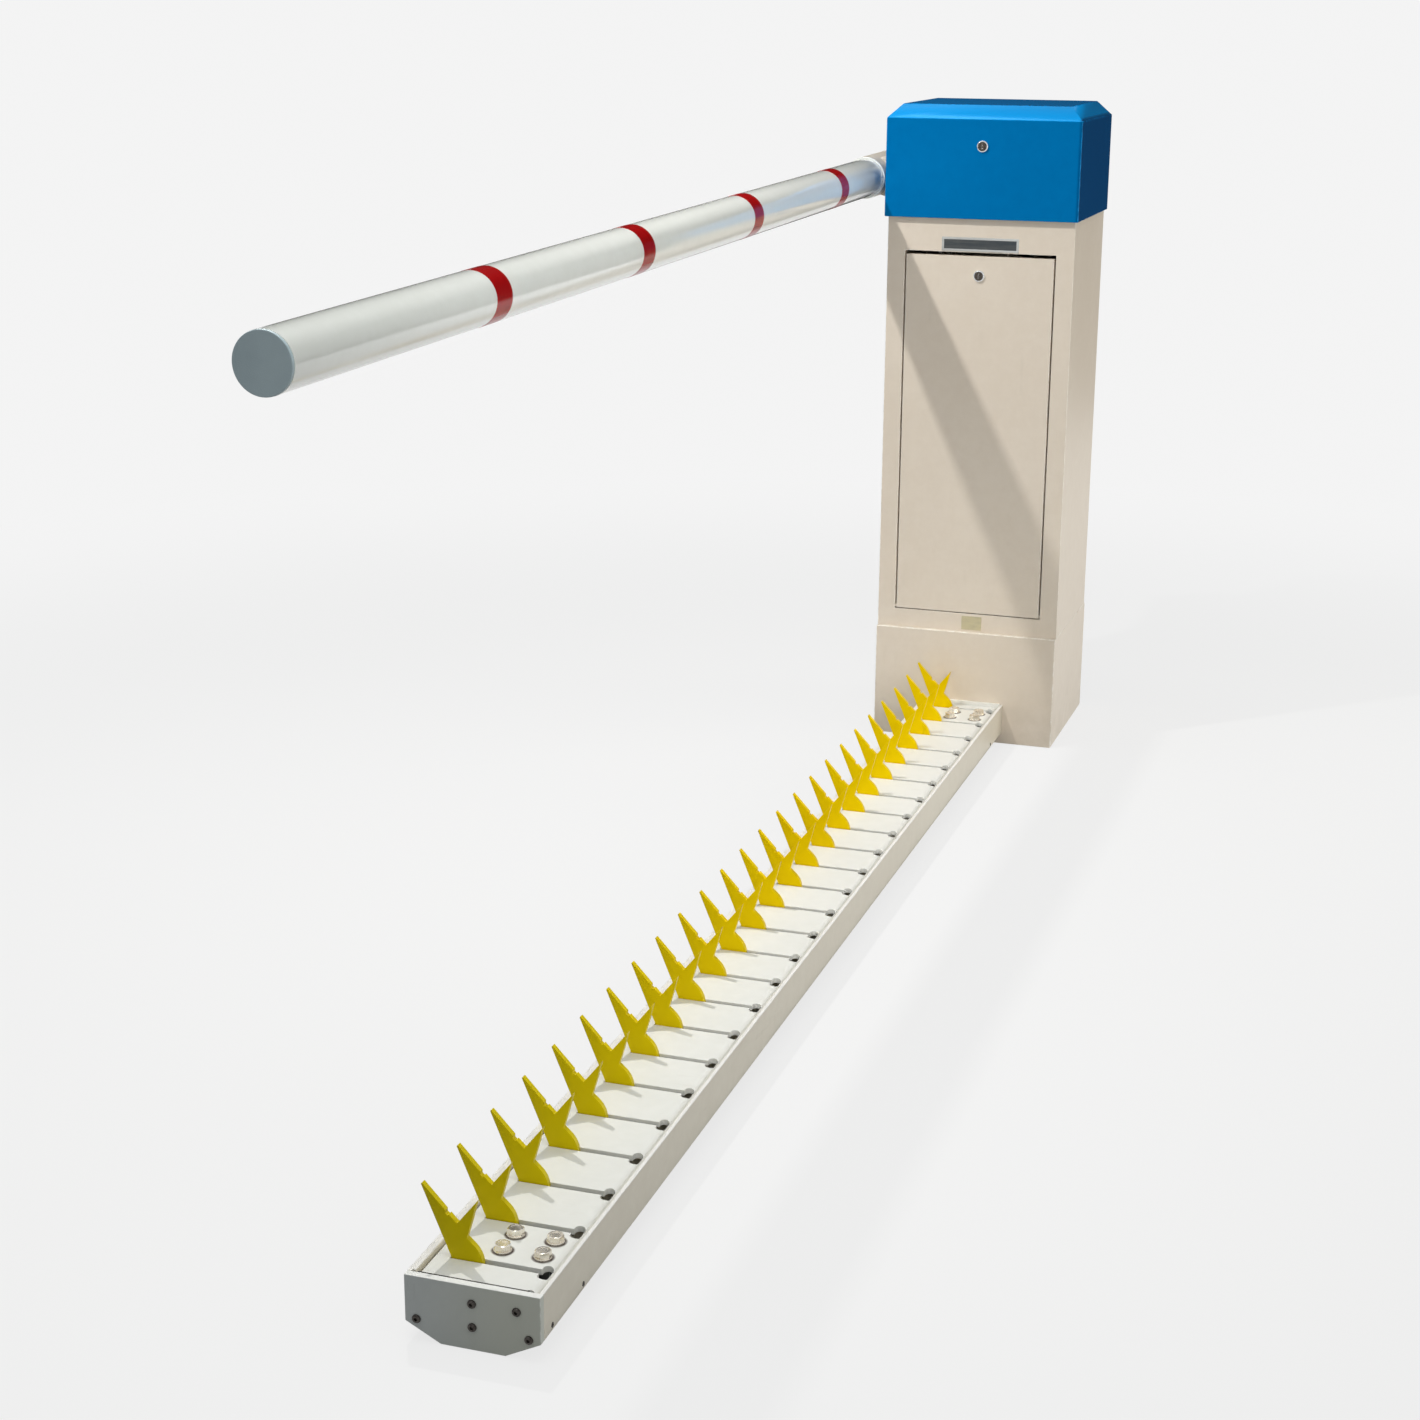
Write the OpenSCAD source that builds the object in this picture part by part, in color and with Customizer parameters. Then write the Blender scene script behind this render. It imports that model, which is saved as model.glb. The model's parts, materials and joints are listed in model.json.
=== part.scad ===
// Boom barrier cabinet with a driven tyre spike strip on the floor in front of it.
// Millimetres, Z up, floor at z = 0. The strip and the boom run along +X from the cabinet.
// The origin is the middle of the plinth's base, and the boom is on the -Y side.

/* [Spike strip] */
// Distance between neighbouring spikes
spike_pitch = 100; // [85:1:130]
// Height of the big spike tip above the cover plate
spike_rise = 89; // [75:1:110]
// Thickness of a spike plate
spike_t = 8; // [5:0.5:10]
// Turn of the spike shaft from raised to lowered, in degrees
spike_swing = 108; // [106:1:109]
// Diameter of the spike shaft
spike_shaft_d = 20; // [16:1:22]
// Sheet thickness of the slotted cover plate
cover_t = 3; // [2:0.5:4]
// Thickness of the backing plate under the slotted part of the cover
cover_back = 5; // [2:0.5:6]
// Wall thickness of the strip channel
channel_t = 5; // [3:0.5:6]
// Thickness of the plate that closes the outer end
end_plate_t = 10; // [6:1:14]
// Height of the channel walls above the cover plate
rail_lip = 4; // [2:0.5:8]

/* [Cabinet] */
// Width of the cabinet body
body_w = 372; // [350:1:420]
// Depth of the cabinet body
body_d = 322; // [310:1:380]
// Height of the plinth
plinth_h = 228; // [200:1:280]
// Height from the plinth's top to the lid's lower edge
body_h = 830; // [780:1:900]
// Height of the lid
lid_h = 216; // [205:1:250]
// Chamfer around the lid's top
lid_bevel = 27; // [15:1:40]
// Sheet thickness of body and lid
sheet_t = 2; // [1.5:0.25:3]
// Sheet thickness of the plinth
plinth_t = 3; // [2:0.5:5]
// Step of plinth and lid in front of the body
front_ledge = 10; // [6:1:16]
// Width of the front door
door_w = 295; // [260:1:310]
// Depth of the door's folded edge
door_fold = 18; // [14:1:24]
// Gap beside and under the door
door_gap = 3; // [2:0.5:5]
// Gap above the door
door_top_gap = 7; // [4:0.5:10]

/* [Boom] */
// Outer diameter of the boom tube
boom_d = 74; // [60:1:90]
// Wall thickness of the boom tube
boom_t = 2; // [1.5:0.25:4]
// Length of the boom from its shaft to the tip
boom_len = 2596; // [2000:1:3200]
// Droop of the lowered boom, in degrees
boom_droop = 0.7; // [0:0.1:2]
// Width of a red band
band_w = 50; // [30:1:80]
// Distance between red bands
band_pitch = 547; // [400:1:700]
// Distance of the outermost band from the tip
band_end = 575; // [300:1:700]
// Diameter of the boom shaft
boom_shaft_d = 40; // [30:1:48]

/* [Drive] */
// Radius of the drive crank and of the boom lever
crank_r = 60; // [50:1:66]
// Radius of the balance spring's arm
spring_r = 80; // [70:1:90]
// Height of the gearbox output below the boom shaft
crank_drop = 277; // [260:1:320]
// Radial play of turning pins and shafts
run_play = 0.05; // [0.02:0.01:0.1]

/* [Hidden] */
$fn = 64;
spike_count = 25;
spikes = [for (i = [1 : spike_count]) str("spike_", i < 10 ? "0" : "", i)];

// Spike outline about the shaft axis, for a rise of 89 mm above the cover
spike_hub_r = spike_shaft_d / 2 + 2.5;
hub_air = 0.9;
pivot_drop = cover_t + spike_hub_r + hub_air;
ss = (spike_rise + pivot_drop) / 105.4;
tip_y = -42.3 * ss;
tip_z = 105.4 * ss;
small_y = 26 * ss;
small_z = 92.3 * ss;
tip_reach = norm([tip_y, tip_z]);
foot_c = ss * [-2.94, 10.9];
foot_r = 35.68 * ss;
small_reach = norm([small_y, small_z]);
small_dir = atan2(small_z, small_y);
floor_air = 2.8;
cover_z = channel_t + floor_air + small_reach * sin(spike_swing - small_dir) + pivot_drop;
pivot_z = cover_z - pivot_drop;
strip_h = cover_z + rail_lip;
// The slots end in cross holes that the tips swing through
key_r = 6.2;
key_l = 30;
slot_air = 1;
slot_w = spike_t + 2 * slot_air;
pivot_y = -44 * ss;
key_y = pivot_y + sqrt(tip_reach * tip_reach - pivot_drop * pivot_drop) - 3.8;
strip_w = 2 * (key_y + key_r + 12.8);
hw = strip_w / 2;
foot_y = 44 * strip_w / 168.4;
foot_z = 22.4 * strip_h / 81.4;
front_x = body_d / 2 + front_ledge;
inner_margin = 37.5;
outer_margin = 62.5;
strip_l = inner_margin + (spike_count - 1) * spike_pitch + outer_margin;
strip_x1 = front_x + strip_l;
channel_x1 = strip_x1 - end_plate_t;
joint_t = 8;
cover_x0 = front_x + joint_t + 1;
cover_x1 = channel_x1 - 3;
cover_in = 0.3;
cover_yr = hw - channel_t - cover_in;
cover_yl = -(hw - channel_t - 6.2);
cover_drop = 24;
bend_r = 16;
bend_l = 5;
cover_full = cover_t + cover_back;
cover_under = cover_z - cover_full;
bearing_half = 24;
back_y = pivot_y + bearing_half + 1;
frame_l = 36;
seat_air = 0.2;
weld_gap = 0.05;
screw_play = 0.2;

// Cabinet levels
lid_z0 = plinth_h + body_h;
lid_z1 = lid_z0 + lid_h;
body_top = lid_z0 + 17;
deck_t = 6;
control_up = 190;
control_h = 260;
control_depth = 62;
control_rim = 4;
deck_z = body_top;
deck_top = deck_z + deck_t;
bx = body_d / 2;
by = body_w / 2;
lid_side = 6;
lid_back = 4;
lid_y = by + lid_side;
lid_x0 = -bx - lid_back;
base_t = 6;
flange_dx = 40;
flange_dy = 32;
cable_hole_r = 45;
cable_hole_in = 90;
door_z0 = plinth_h + 39;
door_z1 = lid_z0 - 72;
door_lock_z = door_z1 - 38;
lid_lock_z = lid_z0 + 139;
door_axis_in = 4;
door_axis_x = bx - door_axis_in;
door_axis_z = door_z0 + door_axis_in;
door_pin_r = 3;
hinge_x = lid_x0 - 6;
hinge_z = lid_z0 - 8;
hinge_r = 4;
hinge_y = 110;
lock_r = 8.5;
deck_cut_x1 = crank_r + 30;
catch_x = max(front_x - 63, deck_cut_x1 + 2);
front_plate = [153, 27];
low_plate = [41, 28];
low_plate_y = 10.5;

// Boom and drive positions
shaft_up = 46;
shaft_z = deck_top + shaft_up;
pillow_y = [-by + 46, by - 70];
pillow_base = 14;
pillow_r = 42;
pillow_bolt_x = 56;
pillow_bolt_r = 5;
shaft_r = boom_shaft_d / 2;
boom_r = boom_d / 2;
boom_y = -(lid_y + 23 + boom_r);
sleeve_t = 4;
sleeve_x0 = -95;
sleeve_x1 = 100;
flange_y = -(lid_y + 3);
flange_t = 10;
flange_r = 52;
flange_bolt_r = 4;
holder_t = 10;
arm_y = 14;
arm_t = 10;
rod_y = 26;
rod_t = 12;
pin_r = 8;
eye_r = 15;
rod_eye_r = 17;
out_shaft_r = 15;
spring_pin_r = 6;
crank_z = shaft_z - crank_drop;
pin_x = crank_r * cos(45);
pin_dz = -crank_r * sin(45);
spring_x = -spring_r * cos(45);
spring_top = shaft_z + spring_r * sin(45);
spring_y = 48;
spring_foot_up = 384;
spring_foot = plinth_h + spring_foot_up;
spring_wire_r = 3;
spring_coil_r = 15;
spring_hook_r = spring_pin_r + spring_wire_r + 0.6;
spring_turns = 30;
torque_x = -65;
torque_r = 11;
gear_x0 = -95;
gear_x1 = 65;
gear_rim = 15;
gear_y0 = -50;
gear_y1 = 50;
gear_z0 = crank_z - 70;
gear_z1 = crank_z + 60;
base_gear_z1 = pivot_z + 60;

// Screws and bolts
side_screw_r = 3;
side_screw_z = foot_z + 6.5;
side_screw_x = [channel_x1 - 25, bolt_mid(1) - 19, bolt_mid(spike_count - 1) + 19];
end_screw_r = 3;
end_screw_in = 14.5;
end_row_top = strip_h - 22.4;
end_row_low = foot_z + 7;
end_screw_spots = [
    [0, end_row_top], [hw - 29, end_row_top], [0, end_row_low],
    [-hw + end_screw_in, end_row_low - 2], [hw - end_screw_in, end_row_low - 3]
];
joint_screw_r = 4;
joint_spots = [[-hw + 68, 24], [hw - 34, 32], [hw - 67, strip_h - 20]];
cover_bolt_r = 6;
cover_bolt_dx = 39;
cover_bolt_y0 = pivot_y + 42.7;
cover_bolt_y1 = cover_bolt_y0 + 50.3;
cover_bolt_spots = [
    for (m = [bolt_mid(1), bolt_mid(spike_count - 1)])
        for (x = [-cover_bolt_dx / 2, cover_bolt_dx / 2])
            for (y = [cover_bolt_y0, cover_bolt_y1])
                [m + x, y]
];
body_bolt_r = 5;
body_bolt_x = bx - 41;
body_bolt_y = by - 17;
anchor_hole_r = 7;
anchor_x = front_x - 31;
anchor_y = by - 31;
gear_shift = pivot_y;

function bolt_mid(i) = (spike_x(i) + spike_x(i + 1)) / 2;
function arc(c, r, a0, a1, n) = [
    for (i = [0 : n])
        let (a = a0 + (a1 - a0) * i / n)
            c + r * [cos(a), sin(a)]
];
function channel_knee(t) = foot_z + t * (norm([foot_y, foot_z]) - foot_z) / foot_y;
function spike_x(i) = channel_x1 + end_plate_t - outer_margin - (i - 1) * spike_pitch;

// Extrudes a Y-Z outline along X
module along_x(x0, x1) {
    translate([x0, 0, 0])
        rotate([90, 0, 90])
            linear_extrude(x1 - x0)
                children();
}

module y_rod(x, z, y0, y1, r) {
    translate([x, y0, z])
        rotate([-90, 0, 0])
            cylinder(h = y1 - y0, r = r);
}

module x_rod(y, z, x0, x1, r) {
    translate([x0, y, z])
        rotate([0, 90, 0])
            cylinder(h = x1 - x0, r = r);
}

module box(a, b) {
    translate(a)
        cube(b - a);
}

module channel_outline() {
    polygon([
        [-hw, strip_h], [-hw, foot_z], [-hw + foot_y, 0], [hw - foot_y, 0], [hw, foot_z], [hw, strip_h]
    ]);
}

module channel_inside(t, top) {
    zi = channel_knee(t);
    yi = hw - foot_y - t * (norm([foot_y, foot_z]) - foot_y) / foot_z;
    polygon([
        [-hw + t, top], [-hw + t, zi], [-yi, t], [yi, t], [hw - t, zi], [hw - t, top]
    ]);
}

// Folded pan with a side plate welded on each edge
module strip_channel() {
    knee = channel_knee(channel_t);
    color("#d8d4c8")
        difference() {
            along_x(front_x, channel_x1)
                channel_outline();
            along_x(front_x - 1, channel_x1 + 1)
                channel_inside(channel_t, strip_h + 1);
            box([front_x - 1, -hw - 1, knee], [channel_x1 + 1, hw + 1, knee + weld_gap]);
            for (s = [-1, 1])
                for (x = side_screw_x)
                    translate([x, s * hw, side_screw_z])
                        rotate([s * 90, 0, 0])
                            translate([0, 0, -1])
                                cylinder(h = channel_t + 2, r = side_screw_r + screw_play);
        }
}

// Bent sheet, backed from beside the shaft to the right-hand fold
module cover_section() {
    bottom = cover_z - cover_drop;
    rr = bend_r;
    rl = bend_l;
    outer = concat(
        [[cover_yl, bottom]],
        arc([cover_yl + rl, cover_z - rl], rl, 180, 90, 4),
        arc([cover_yr - rr, cover_z - rr], rr, 90, 0, 8),
        [[cover_yr, bottom]]
    );
    inner = concat(
        [[cover_yr - cover_full, bottom]],
        arc([cover_yr - rr, cover_z - rr], rr - cover_full, 0, 90, 8),
        [[back_y, cover_under], [back_y, cover_z - cover_t]],
        arc([cover_yl + rl, cover_z - rl], rl - cover_t, 90, 180, 4),
        [[cover_yl + cover_t, bottom]]
    );
    polygon(concat(outer, inner));
}

// Long hole across the end of a slot
module cross_hole(h) {
    reach = key_l / 2 - key_r;
    linear_extrude(h)
        hull()
            for (s = [-1, 1])
                translate([s * reach, 0])
                    circle(r = key_r);
}

module strip_cover() {
    slot_y = pivot_y - 8 * ss;
    color("#ecebe4")
        difference() {
            along_x(cover_x0, cover_x1)
                cover_section();
            for (i = [1 : spike_count]) {
                box(
                    [spike_x(i) - slot_w / 2, slot_y, cover_z - 12],
                    [spike_x(i) + slot_w / 2, key_y, cover_z + 1]
                );
                translate([spike_x(i), key_y, cover_z - 18])
                    cross_hole(19);
            }
            translate([cover_x1, key_y, cover_z - 18])
                cylinder(h = 20, r = key_r + 1);
            for (p = cover_bolt_spots)
                translate([p[0], p[1], cover_under - 1])
                    cylinder(h = cover_full + 2, r = cover_bolt_r + 0.6);
        }
}

// Blocks under the cover that its bolts screw into
module cover_blocks() {
    top = cover_under;
    color("#7d7f80")
        difference() {
            intersection() {
                union() {
                    for (m = [bolt_mid(1), bolt_mid(spike_count - 1)]) {
                        box([m - 32, -18 * ss, top - 26], [m + 32, cover_yr - bend_r, top]);
                        box([m - 32, -18 * ss, 0], [m + 32, 38 * ss, top - 20]);
                        box([m - 32, -hw, side_screw_z - 10], [m + 32, hw, side_screw_z + 10]);
                    }
                }
                along_x(front_x, channel_x1)
                    channel_inside(channel_t, top + 1);
            }
            for (p = cover_bolt_spots)
                translate([p[0], p[1], top - 24])
                    cylinder(h = 30, r = cover_bolt_r);
            for (s = [-1, 1])
                for (i = [1, 2])
                    translate([side_screw_x[i], s * (hw - channel_t - 8), side_screw_z])
                        rotate([-s * 90, 0, 0])
                            cylinder(h = 10, r = side_screw_r);
        }
}

// Block that closes the channel behind the end plate and carries the outer end of the spike shaft
module end_frame() {
    x0 = channel_x1 - frame_l;
    color("#8b8d8c")
        difference() {
            intersection() {
                along_x(x0, channel_x1)
                    channel_inside(channel_t + seat_air, cover_z - cover_t - 0.5);
                union() {
                    box([x0 - 1, -hw, 0], [channel_x1 + 1, hw, cover_z - cover_drop - 1]);
                    box(
                        [x0 - 1, cover_yl + bend_l, 0],
                        [channel_x1 + 1, cover_yr - bend_r, cover_under - 0.5]
                    );
                    box([x0 - 1, cover_yl + bend_l, 0], [channel_x1 + 1, back_y - 1, cover_z]);
                }
            }
            x_rod(pivot_y, pivot_z, x0 - 1, channel_x1 - 6, spike_shaft_d / 2 + run_play);
            for (p = end_screw_spots)
                x_rod(p[0], p[1], channel_x1 - 14, channel_x1 + 1, end_screw_r);
            for (s = [-1, 1])
                translate([side_screw_x[0], s * (hw - channel_t - 14), side_screw_z])
                    rotate([-s * 90, 0, 0])
                        cylinder(h = 20, r = side_screw_r);
        }
}

module end_plate() {
    color("#7f8584")
        difference() {
            along_x(channel_x1, strip_x1)
                channel_outline();
            for (p = end_screw_spots)
                x_rod(p[0], p[1], channel_x1 - 1, strip_x1 + 1, end_screw_r + screw_play);
        }
}

// Wall between the channel and the plinth, with a lip above the cover
module joint_plate() {
    color("#e4e2da")
        difference() {
            along_x(front_x, front_x + joint_t)
                channel_inside(channel_t + seat_air, cover_z + 7);
            x_rod(pivot_y, pivot_z, front_x - 1, front_x + joint_t + 1, spike_shaft_d / 2 + run_play);
            for (p = joint_spots)
                x_rod(p[0], p[1], front_x - 1, front_x + joint_t + 1, joint_screw_r + screw_play);
        }
}

module shaft_bearings() {
    color("#6f7375")
        for (i = [8, 16])
            difference() {
                intersection() {
                    along_x(bolt_mid(i) - 10, bolt_mid(i) + 10)
                        channel_inside(channel_t, cover_z - cover_t - 0.6);
                    box(
                        [bolt_mid(i) - 20, pivot_y - bearing_half, 0],
                        [bolt_mid(i) + 20, pivot_y + bearing_half, cover_z]
                    );
                }
                x_rod(pivot_y, pivot_z, bolt_mid(i) - 20, bolt_mid(i) + 20, spike_shaft_d / 2 + run_play);
            }
}

// Button head with a hexagon socket, head above z = 0 and shank below
module button_screw(r, shank) {
    difference() {
        union() {
            cylinder(h = 0.5 * r, r = 1.75 * r);
            translate([0, 0, 0.5 * r])
                cylinder(h = 0.6 * r, r1 = 1.75 * r, r2 = 1.15 * r);
            translate([0, 0, -shank])
                cylinder(h = shank + 0.1, r = r);
        }
        translate([0, 0, 0.3 * r])
            cylinder(h = 2 * r, r = 0.75 * r, $fn = 6);
    }
}

module strip_screws() {
    color("#5b5750") {
        for (p = end_screw_spots)
            translate([strip_x1, p[0], p[1]])
                rotate([0, 90, 0])
                    button_screw(end_screw_r, end_plate_t + 12);
        for (p = joint_spots)
            translate([front_x + joint_t, p[0], p[1]])
                rotate([0, 90, 0])
                    button_screw(joint_screw_r, joint_t + plinth_t + 2);
        for (s = [-1, 1])
            for (x = side_screw_x)
                translate([x, s * hw, side_screw_z])
                    rotate([-s * 90, 0, 0])
                        translate([0, 0, -channel_t - 8])
                            cylinder(h = channel_t + 8.6, r = side_screw_r);
    }
}

// Hexagon bolt with washer, head above z = 0
module hex_bolt(r, shank) {
    cylinder(h = 2.2, r = 1.85 * r);
    translate([0, 0, 2.2])
        cylinder(h = 1.25 * r, r = 1.73 * r, $fn = 6);
    translate([0, 0, -shank])
        cylinder(h = shank + 0.1, r = r);
}

module hex_bolts() {
    color("#c9c6bc") {
        for (p = cover_bolt_spots)
            translate([p[0], p[1], cover_z])
                hex_bolt(cover_bolt_r, 24);
        for (sx = [-1, 1])
            for (sy = [-1, 1])
                translate([sx * body_bolt_x, sy * body_bolt_y, plinth_h + sheet_t])
                    hex_bolt(body_bolt_r, 13);
        for (sx = [-1, 1])
            for (y = pillow_y)
                translate([sx * pillow_bolt_x, y, deck_top + pillow_base])
                    hex_bolt(pillow_bolt_r, pillow_base + deck_t);
    }
}

// One spike: forked blade, round foot and a hub on the shaft, drawn about the shaft axis
module spike_blade() {
    polygon(ss * [
        [-43, 104.4], [-41.6, 105.7], [-40.6, 104.9], [-13, 75.6], [-13.2, 71.8], [-10.6, 69.3], [-8.6, 71],
        [0.2, 61.9], [1.6, 61.6], [26, 92.3], [20, 68.4], [13, 44.5], [17.6, 40.4],
        [10, 0], [-9.4, 0], [-6.6, 16.4]
    ]);
}

module spike(i) {
    color("#d2b400")
        translate([spike_x(i), pivot_y, pivot_z])
            difference() {
                union() {
                    along_x(-spike_t / 2, spike_t / 2)
                        spike_blade();
                    intersection() {
                        x_rod(foot_c[0], foot_c[1], -spike_t / 2, spike_t / 2, foot_r);
                        along_x(-spike_t / 2, spike_t / 2)
                            polygon(ss * [
                                [-9.4, -10], [40, -10], [40, 44], [4, 44], [-6.6, 16.4], [-9.4, 0]
                            ]);
                    }
                    x_rod(0, 0, -12, 12, spike_hub_r);
                }
                x_rod(0, 0, -13, 13, spike_shaft_d / 2);
            }
}

module spike_shaft() {
    gear_end = torque_x + 50;
    color("#8f9192") {
        x_rod(pivot_y, pivot_z, gear_end - 25, channel_x1 - 6.3, spike_shaft_d / 2);
        translate([gear_end + 12, pivot_y, pivot_z])
            rotate([0, 90, 0])
                coupling(54, spike_shaft_d);
    }
}

// Wall plates and flange bars welded together round a floor plate
module plinth() {
    ix = front_x - plinth_t;
    iy = by - plinth_t;
    flange_z = plinth_h - plinth_t;
    color("#d8ccba")
        difference() {
            union() {
                for (s = [0, 1]) {
                    mirror([s, 0, 0]) {
                        box([ix, -by, 0], [front_x, by, plinth_h]);
                        box(
                            [front_x - flange_dx, weld_gap - iy, flange_z],
                            [ix - weld_gap, iy - weld_gap, plinth_h]
                        );
                    }
                    mirror([0, s, 0]) {
                        box([weld_gap - ix, iy, 0], [ix - weld_gap, by, plinth_h]);
                        box(
                            [weld_gap + flange_dx - front_x, by - flange_dy, flange_z],
                            [front_x - flange_dx - weld_gap, iy - weld_gap, plinth_h]
                        );
                    }
                }
                box([weld_gap - ix, weld_gap - iy, 0], [ix - weld_gap, iy - weld_gap, base_t]);
            }
            for (sx = [-1, 1])
                for (sy = [-1, 1]) {
                    translate([sx * anchor_x, sy * anchor_y, -1])
                        cylinder(h = base_t + 2, r = anchor_hole_r);
                    translate([sx * body_bolt_x, sy * body_bolt_y, plinth_h - 10])
                        cylinder(h = 12, r = body_bolt_r + 0.3);
                }
            translate([cable_hole_in, cable_hole_in, -1])
                cylinder(h = base_t + 2, r = cable_hole_r);
            x_rod(pivot_y, pivot_z, front_x - 10, front_x + 1, spike_shaft_d / 2 + 4);
            for (p = joint_spots)
                x_rod(p[0], p[1], front_x - 10, front_x + 1, joint_screw_r);
        }
}

module cabinet_body() {
    o = door_w / 2 + door_gap;
    oz0 = door_z0 - 2;
    oz1 = door_z1 + door_top_gap;
    color("#d8ccba")
        difference() {
            union() {
                difference() {
                    box([-bx, -by, plinth_h], [bx, by, body_top]);
                    box(
                        [-bx + sheet_t, -by + sheet_t, plinth_h + sheet_t],
                        [bx - sheet_t, by - sheet_t, body_top - sheet_t]
                    );
                    box(
                        [-bx + flange_dx, -by + flange_dy, plinth_h - 1],
                        [bx - flange_dx, by - flange_dy, plinth_h + 10]
                    );
                    box([-bx + 24, -by + 24, body_top - 10], [bx - 24, by - 24, body_top + 1]);
                }
                // Folded edge around the door opening
                box([bx - 21.5, -o - sheet_t, oz0 - sheet_t], [bx - 0.5, o + sheet_t, oz1 + sheet_t]);
                // Lugs for the door's pins
                for (s = [-1, 1])
                    translate([0, s * (o + 7), 0])
                        box([bx - 12, -7, oz0 - sheet_t], [bx - 0.5, 7, oz0 + 16]);
                // Lid hinge lugs and pins on the back
                for (s = [-1, 1]) {
                    for (e = [-1, 1])
                        translate([0, s * hinge_y + e * 27, 0])
                            box([hinge_x - 6, -6, hinge_z - 8], [-bx + 0.5, 6, hinge_z + 5]);
                    y_rod(hinge_x, hinge_z, s * hinge_y - 32, s * hinge_y + 32, hinge_r);
                }
                // Bracket for the foot of the balance spring
                for (y = [spring_y - 24, spring_y + 18])
                    box([-bx + 1, y, spring_foot - 18], [spring_x + 18, y + 6, spring_foot + 16]);
                y_rod(spring_x, spring_foot, spring_y - 20, spring_y + 20, spring_pin_r);
            }
            box([bx - 40, -o, oz0], [bx + 1, o, oz1]);
            for (s = [-1, 1])
                y_rod(
                    door_axis_x, door_axis_z,
                    s > 0 ? o - 1 : -o - 9, s > 0 ? o + 9 : -o + 1, door_pin_r + run_play
                );
            for (sx = [-1, 1])
                for (sy = [-1, 1])
                    translate([sx * body_bolt_x, sy * body_bolt_y, plinth_h - 1])
                        cylinder(h = 6, r = body_bolt_r + 0.3);
        }
}

module blank_plates() {
    color("#c9cbc8") {
        translate([bx, -front_plate[0] / 2, door_z1 + door_top_gap + 2])
            cube([0.8, front_plate[0], front_plate[1]]);
        translate([bx, low_plate_y - low_plate[0] / 2, plinth_h + 4])
            cube([0.6, low_plate[0], low_plate[1]]);
    }
}

module cabinet_door() {
    w = door_w / 2;
    color("#d8ccba")
        difference() {
            union() {
                difference() {
                    box([bx - door_fold, -w, door_z0], [bx, w, door_z1]);
                    box(
                        [bx - door_fold - 1, -w + sheet_t, door_z0 + sheet_t],
                        [bx - sheet_t, w - sheet_t, door_z1 - sheet_t]
                    );
                    // Room for the edge to turn over the sill
                    box(
                        [bx - door_fold - 1, -w - 1, door_z0 - 1],
                        [door_axis_x - 4, w + 1, door_z0 + 16]
                    );
                }
                for (s = [-1, 1]) {
                    y_rod(
                        door_axis_x, door_axis_z,
                        s > 0 ? w - 14 : -w - door_gap - 8, s > 0 ? w + door_gap + 8 : -w + 14, door_pin_r
                    );
                    translate([0, s * (w - 8), 0])
                        box([door_axis_x - 4, -6, door_z0 + 0.5], [bx - 0.5, 6, door_z0 + 12]);
                }
            }
            x_rod(0, door_lock_z, bx - 10, bx + 1, lock_r + run_play);
        }
}

// Cam lock: round head in front of x = 0, cam behind it
module cam_lock(depth, cam_l, cam_turn) {
    difference() {
        union() {
            x_rod(0, 0, 0.05, 3, 11);
            translate([3, 0, 0])
                rotate([0, 90, 0])
                    cylinder(h = 1.5, r1 = 11, r2 = 8.8);
            x_rod(0, 0, -depth, 0.1, lock_r);
            rotate([cam_turn, 0, 0])
                box([-depth - 3, -6, -6], [-depth + 0.1, 6, cam_l]);
        }
        box([1.5, -0.9, -4.5], [6, 0.9, 4.5]);
    }
}

module door_lock() {
    color("#cfd0d2")
        translate([bx, 0, door_lock_z])
            cam_lock(22.2, 55, 90);
}

module lid_lock() {
    color("#cfd0d2")
        translate([front_x, 0, lid_lock_z])
            cam_lock(front_x - catch_x - 15, 42, 180);
}

module lid_form(inset, z0) {
    x0 = lid_x0 + inset;
    x1 = front_x - inset;
    y1 = lid_y - inset;
    z1 = lid_z1 - inset;
    b = lid_bevel - 0.4 * inset;
    intersection() {
        translate([0, y1, 0])
            rotate([90, 0, 0])
                linear_extrude(2 * y1)
                    polygon([[x0, z0], [x1, z0], [x1, z1 - b], [x1 - b, z1], [x0 + b, z1], [x0, z1 - b]]);
        along_x(x0, x1)
            polygon([[-y1, z0], [y1, z0], [y1, z1 - b], [y1 - b, z1], [-y1 + b, z1], [-y1, z1 - b]]);
    }
}

module cabinet_lid() {
    notch = shaft_r + 6;
    color("#0a6fae")
        difference() {
            union() {
                difference() {
                    lid_form(0, lid_z0);
                    lid_form(sheet_t, lid_z0 - 1);
                }
                for (s = [-1, 1]) {
                    y_rod(hinge_x, hinge_z, s * hinge_y - 20, s * hinge_y + 20, hinge_r + 3);
                    box(
                        [lid_x0 - 4, s * hinge_y - 20, hinge_z],
                        [lid_x0 + 0.5, s * hinge_y + 20, lid_z0 + 26]
                    );
                }
            }
            for (s = [-1, 1])
                y_rod(hinge_x, hinge_z, s * hinge_y - 21, s * hinge_y + 21, hinge_r + run_play);
            x_rod(0, lid_lock_z, front_x - 10, front_x + 1, lock_r + run_play);
            // Way for the boom shaft as the lid swings back
            box([-notch, -lid_y - 1, lid_z0 - 1], [notch + 18, -lid_y + 10, shaft_z]);
            y_rod(0, shaft_z, -lid_y - 1, -lid_y + 10, notch);
        }
}

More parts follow.
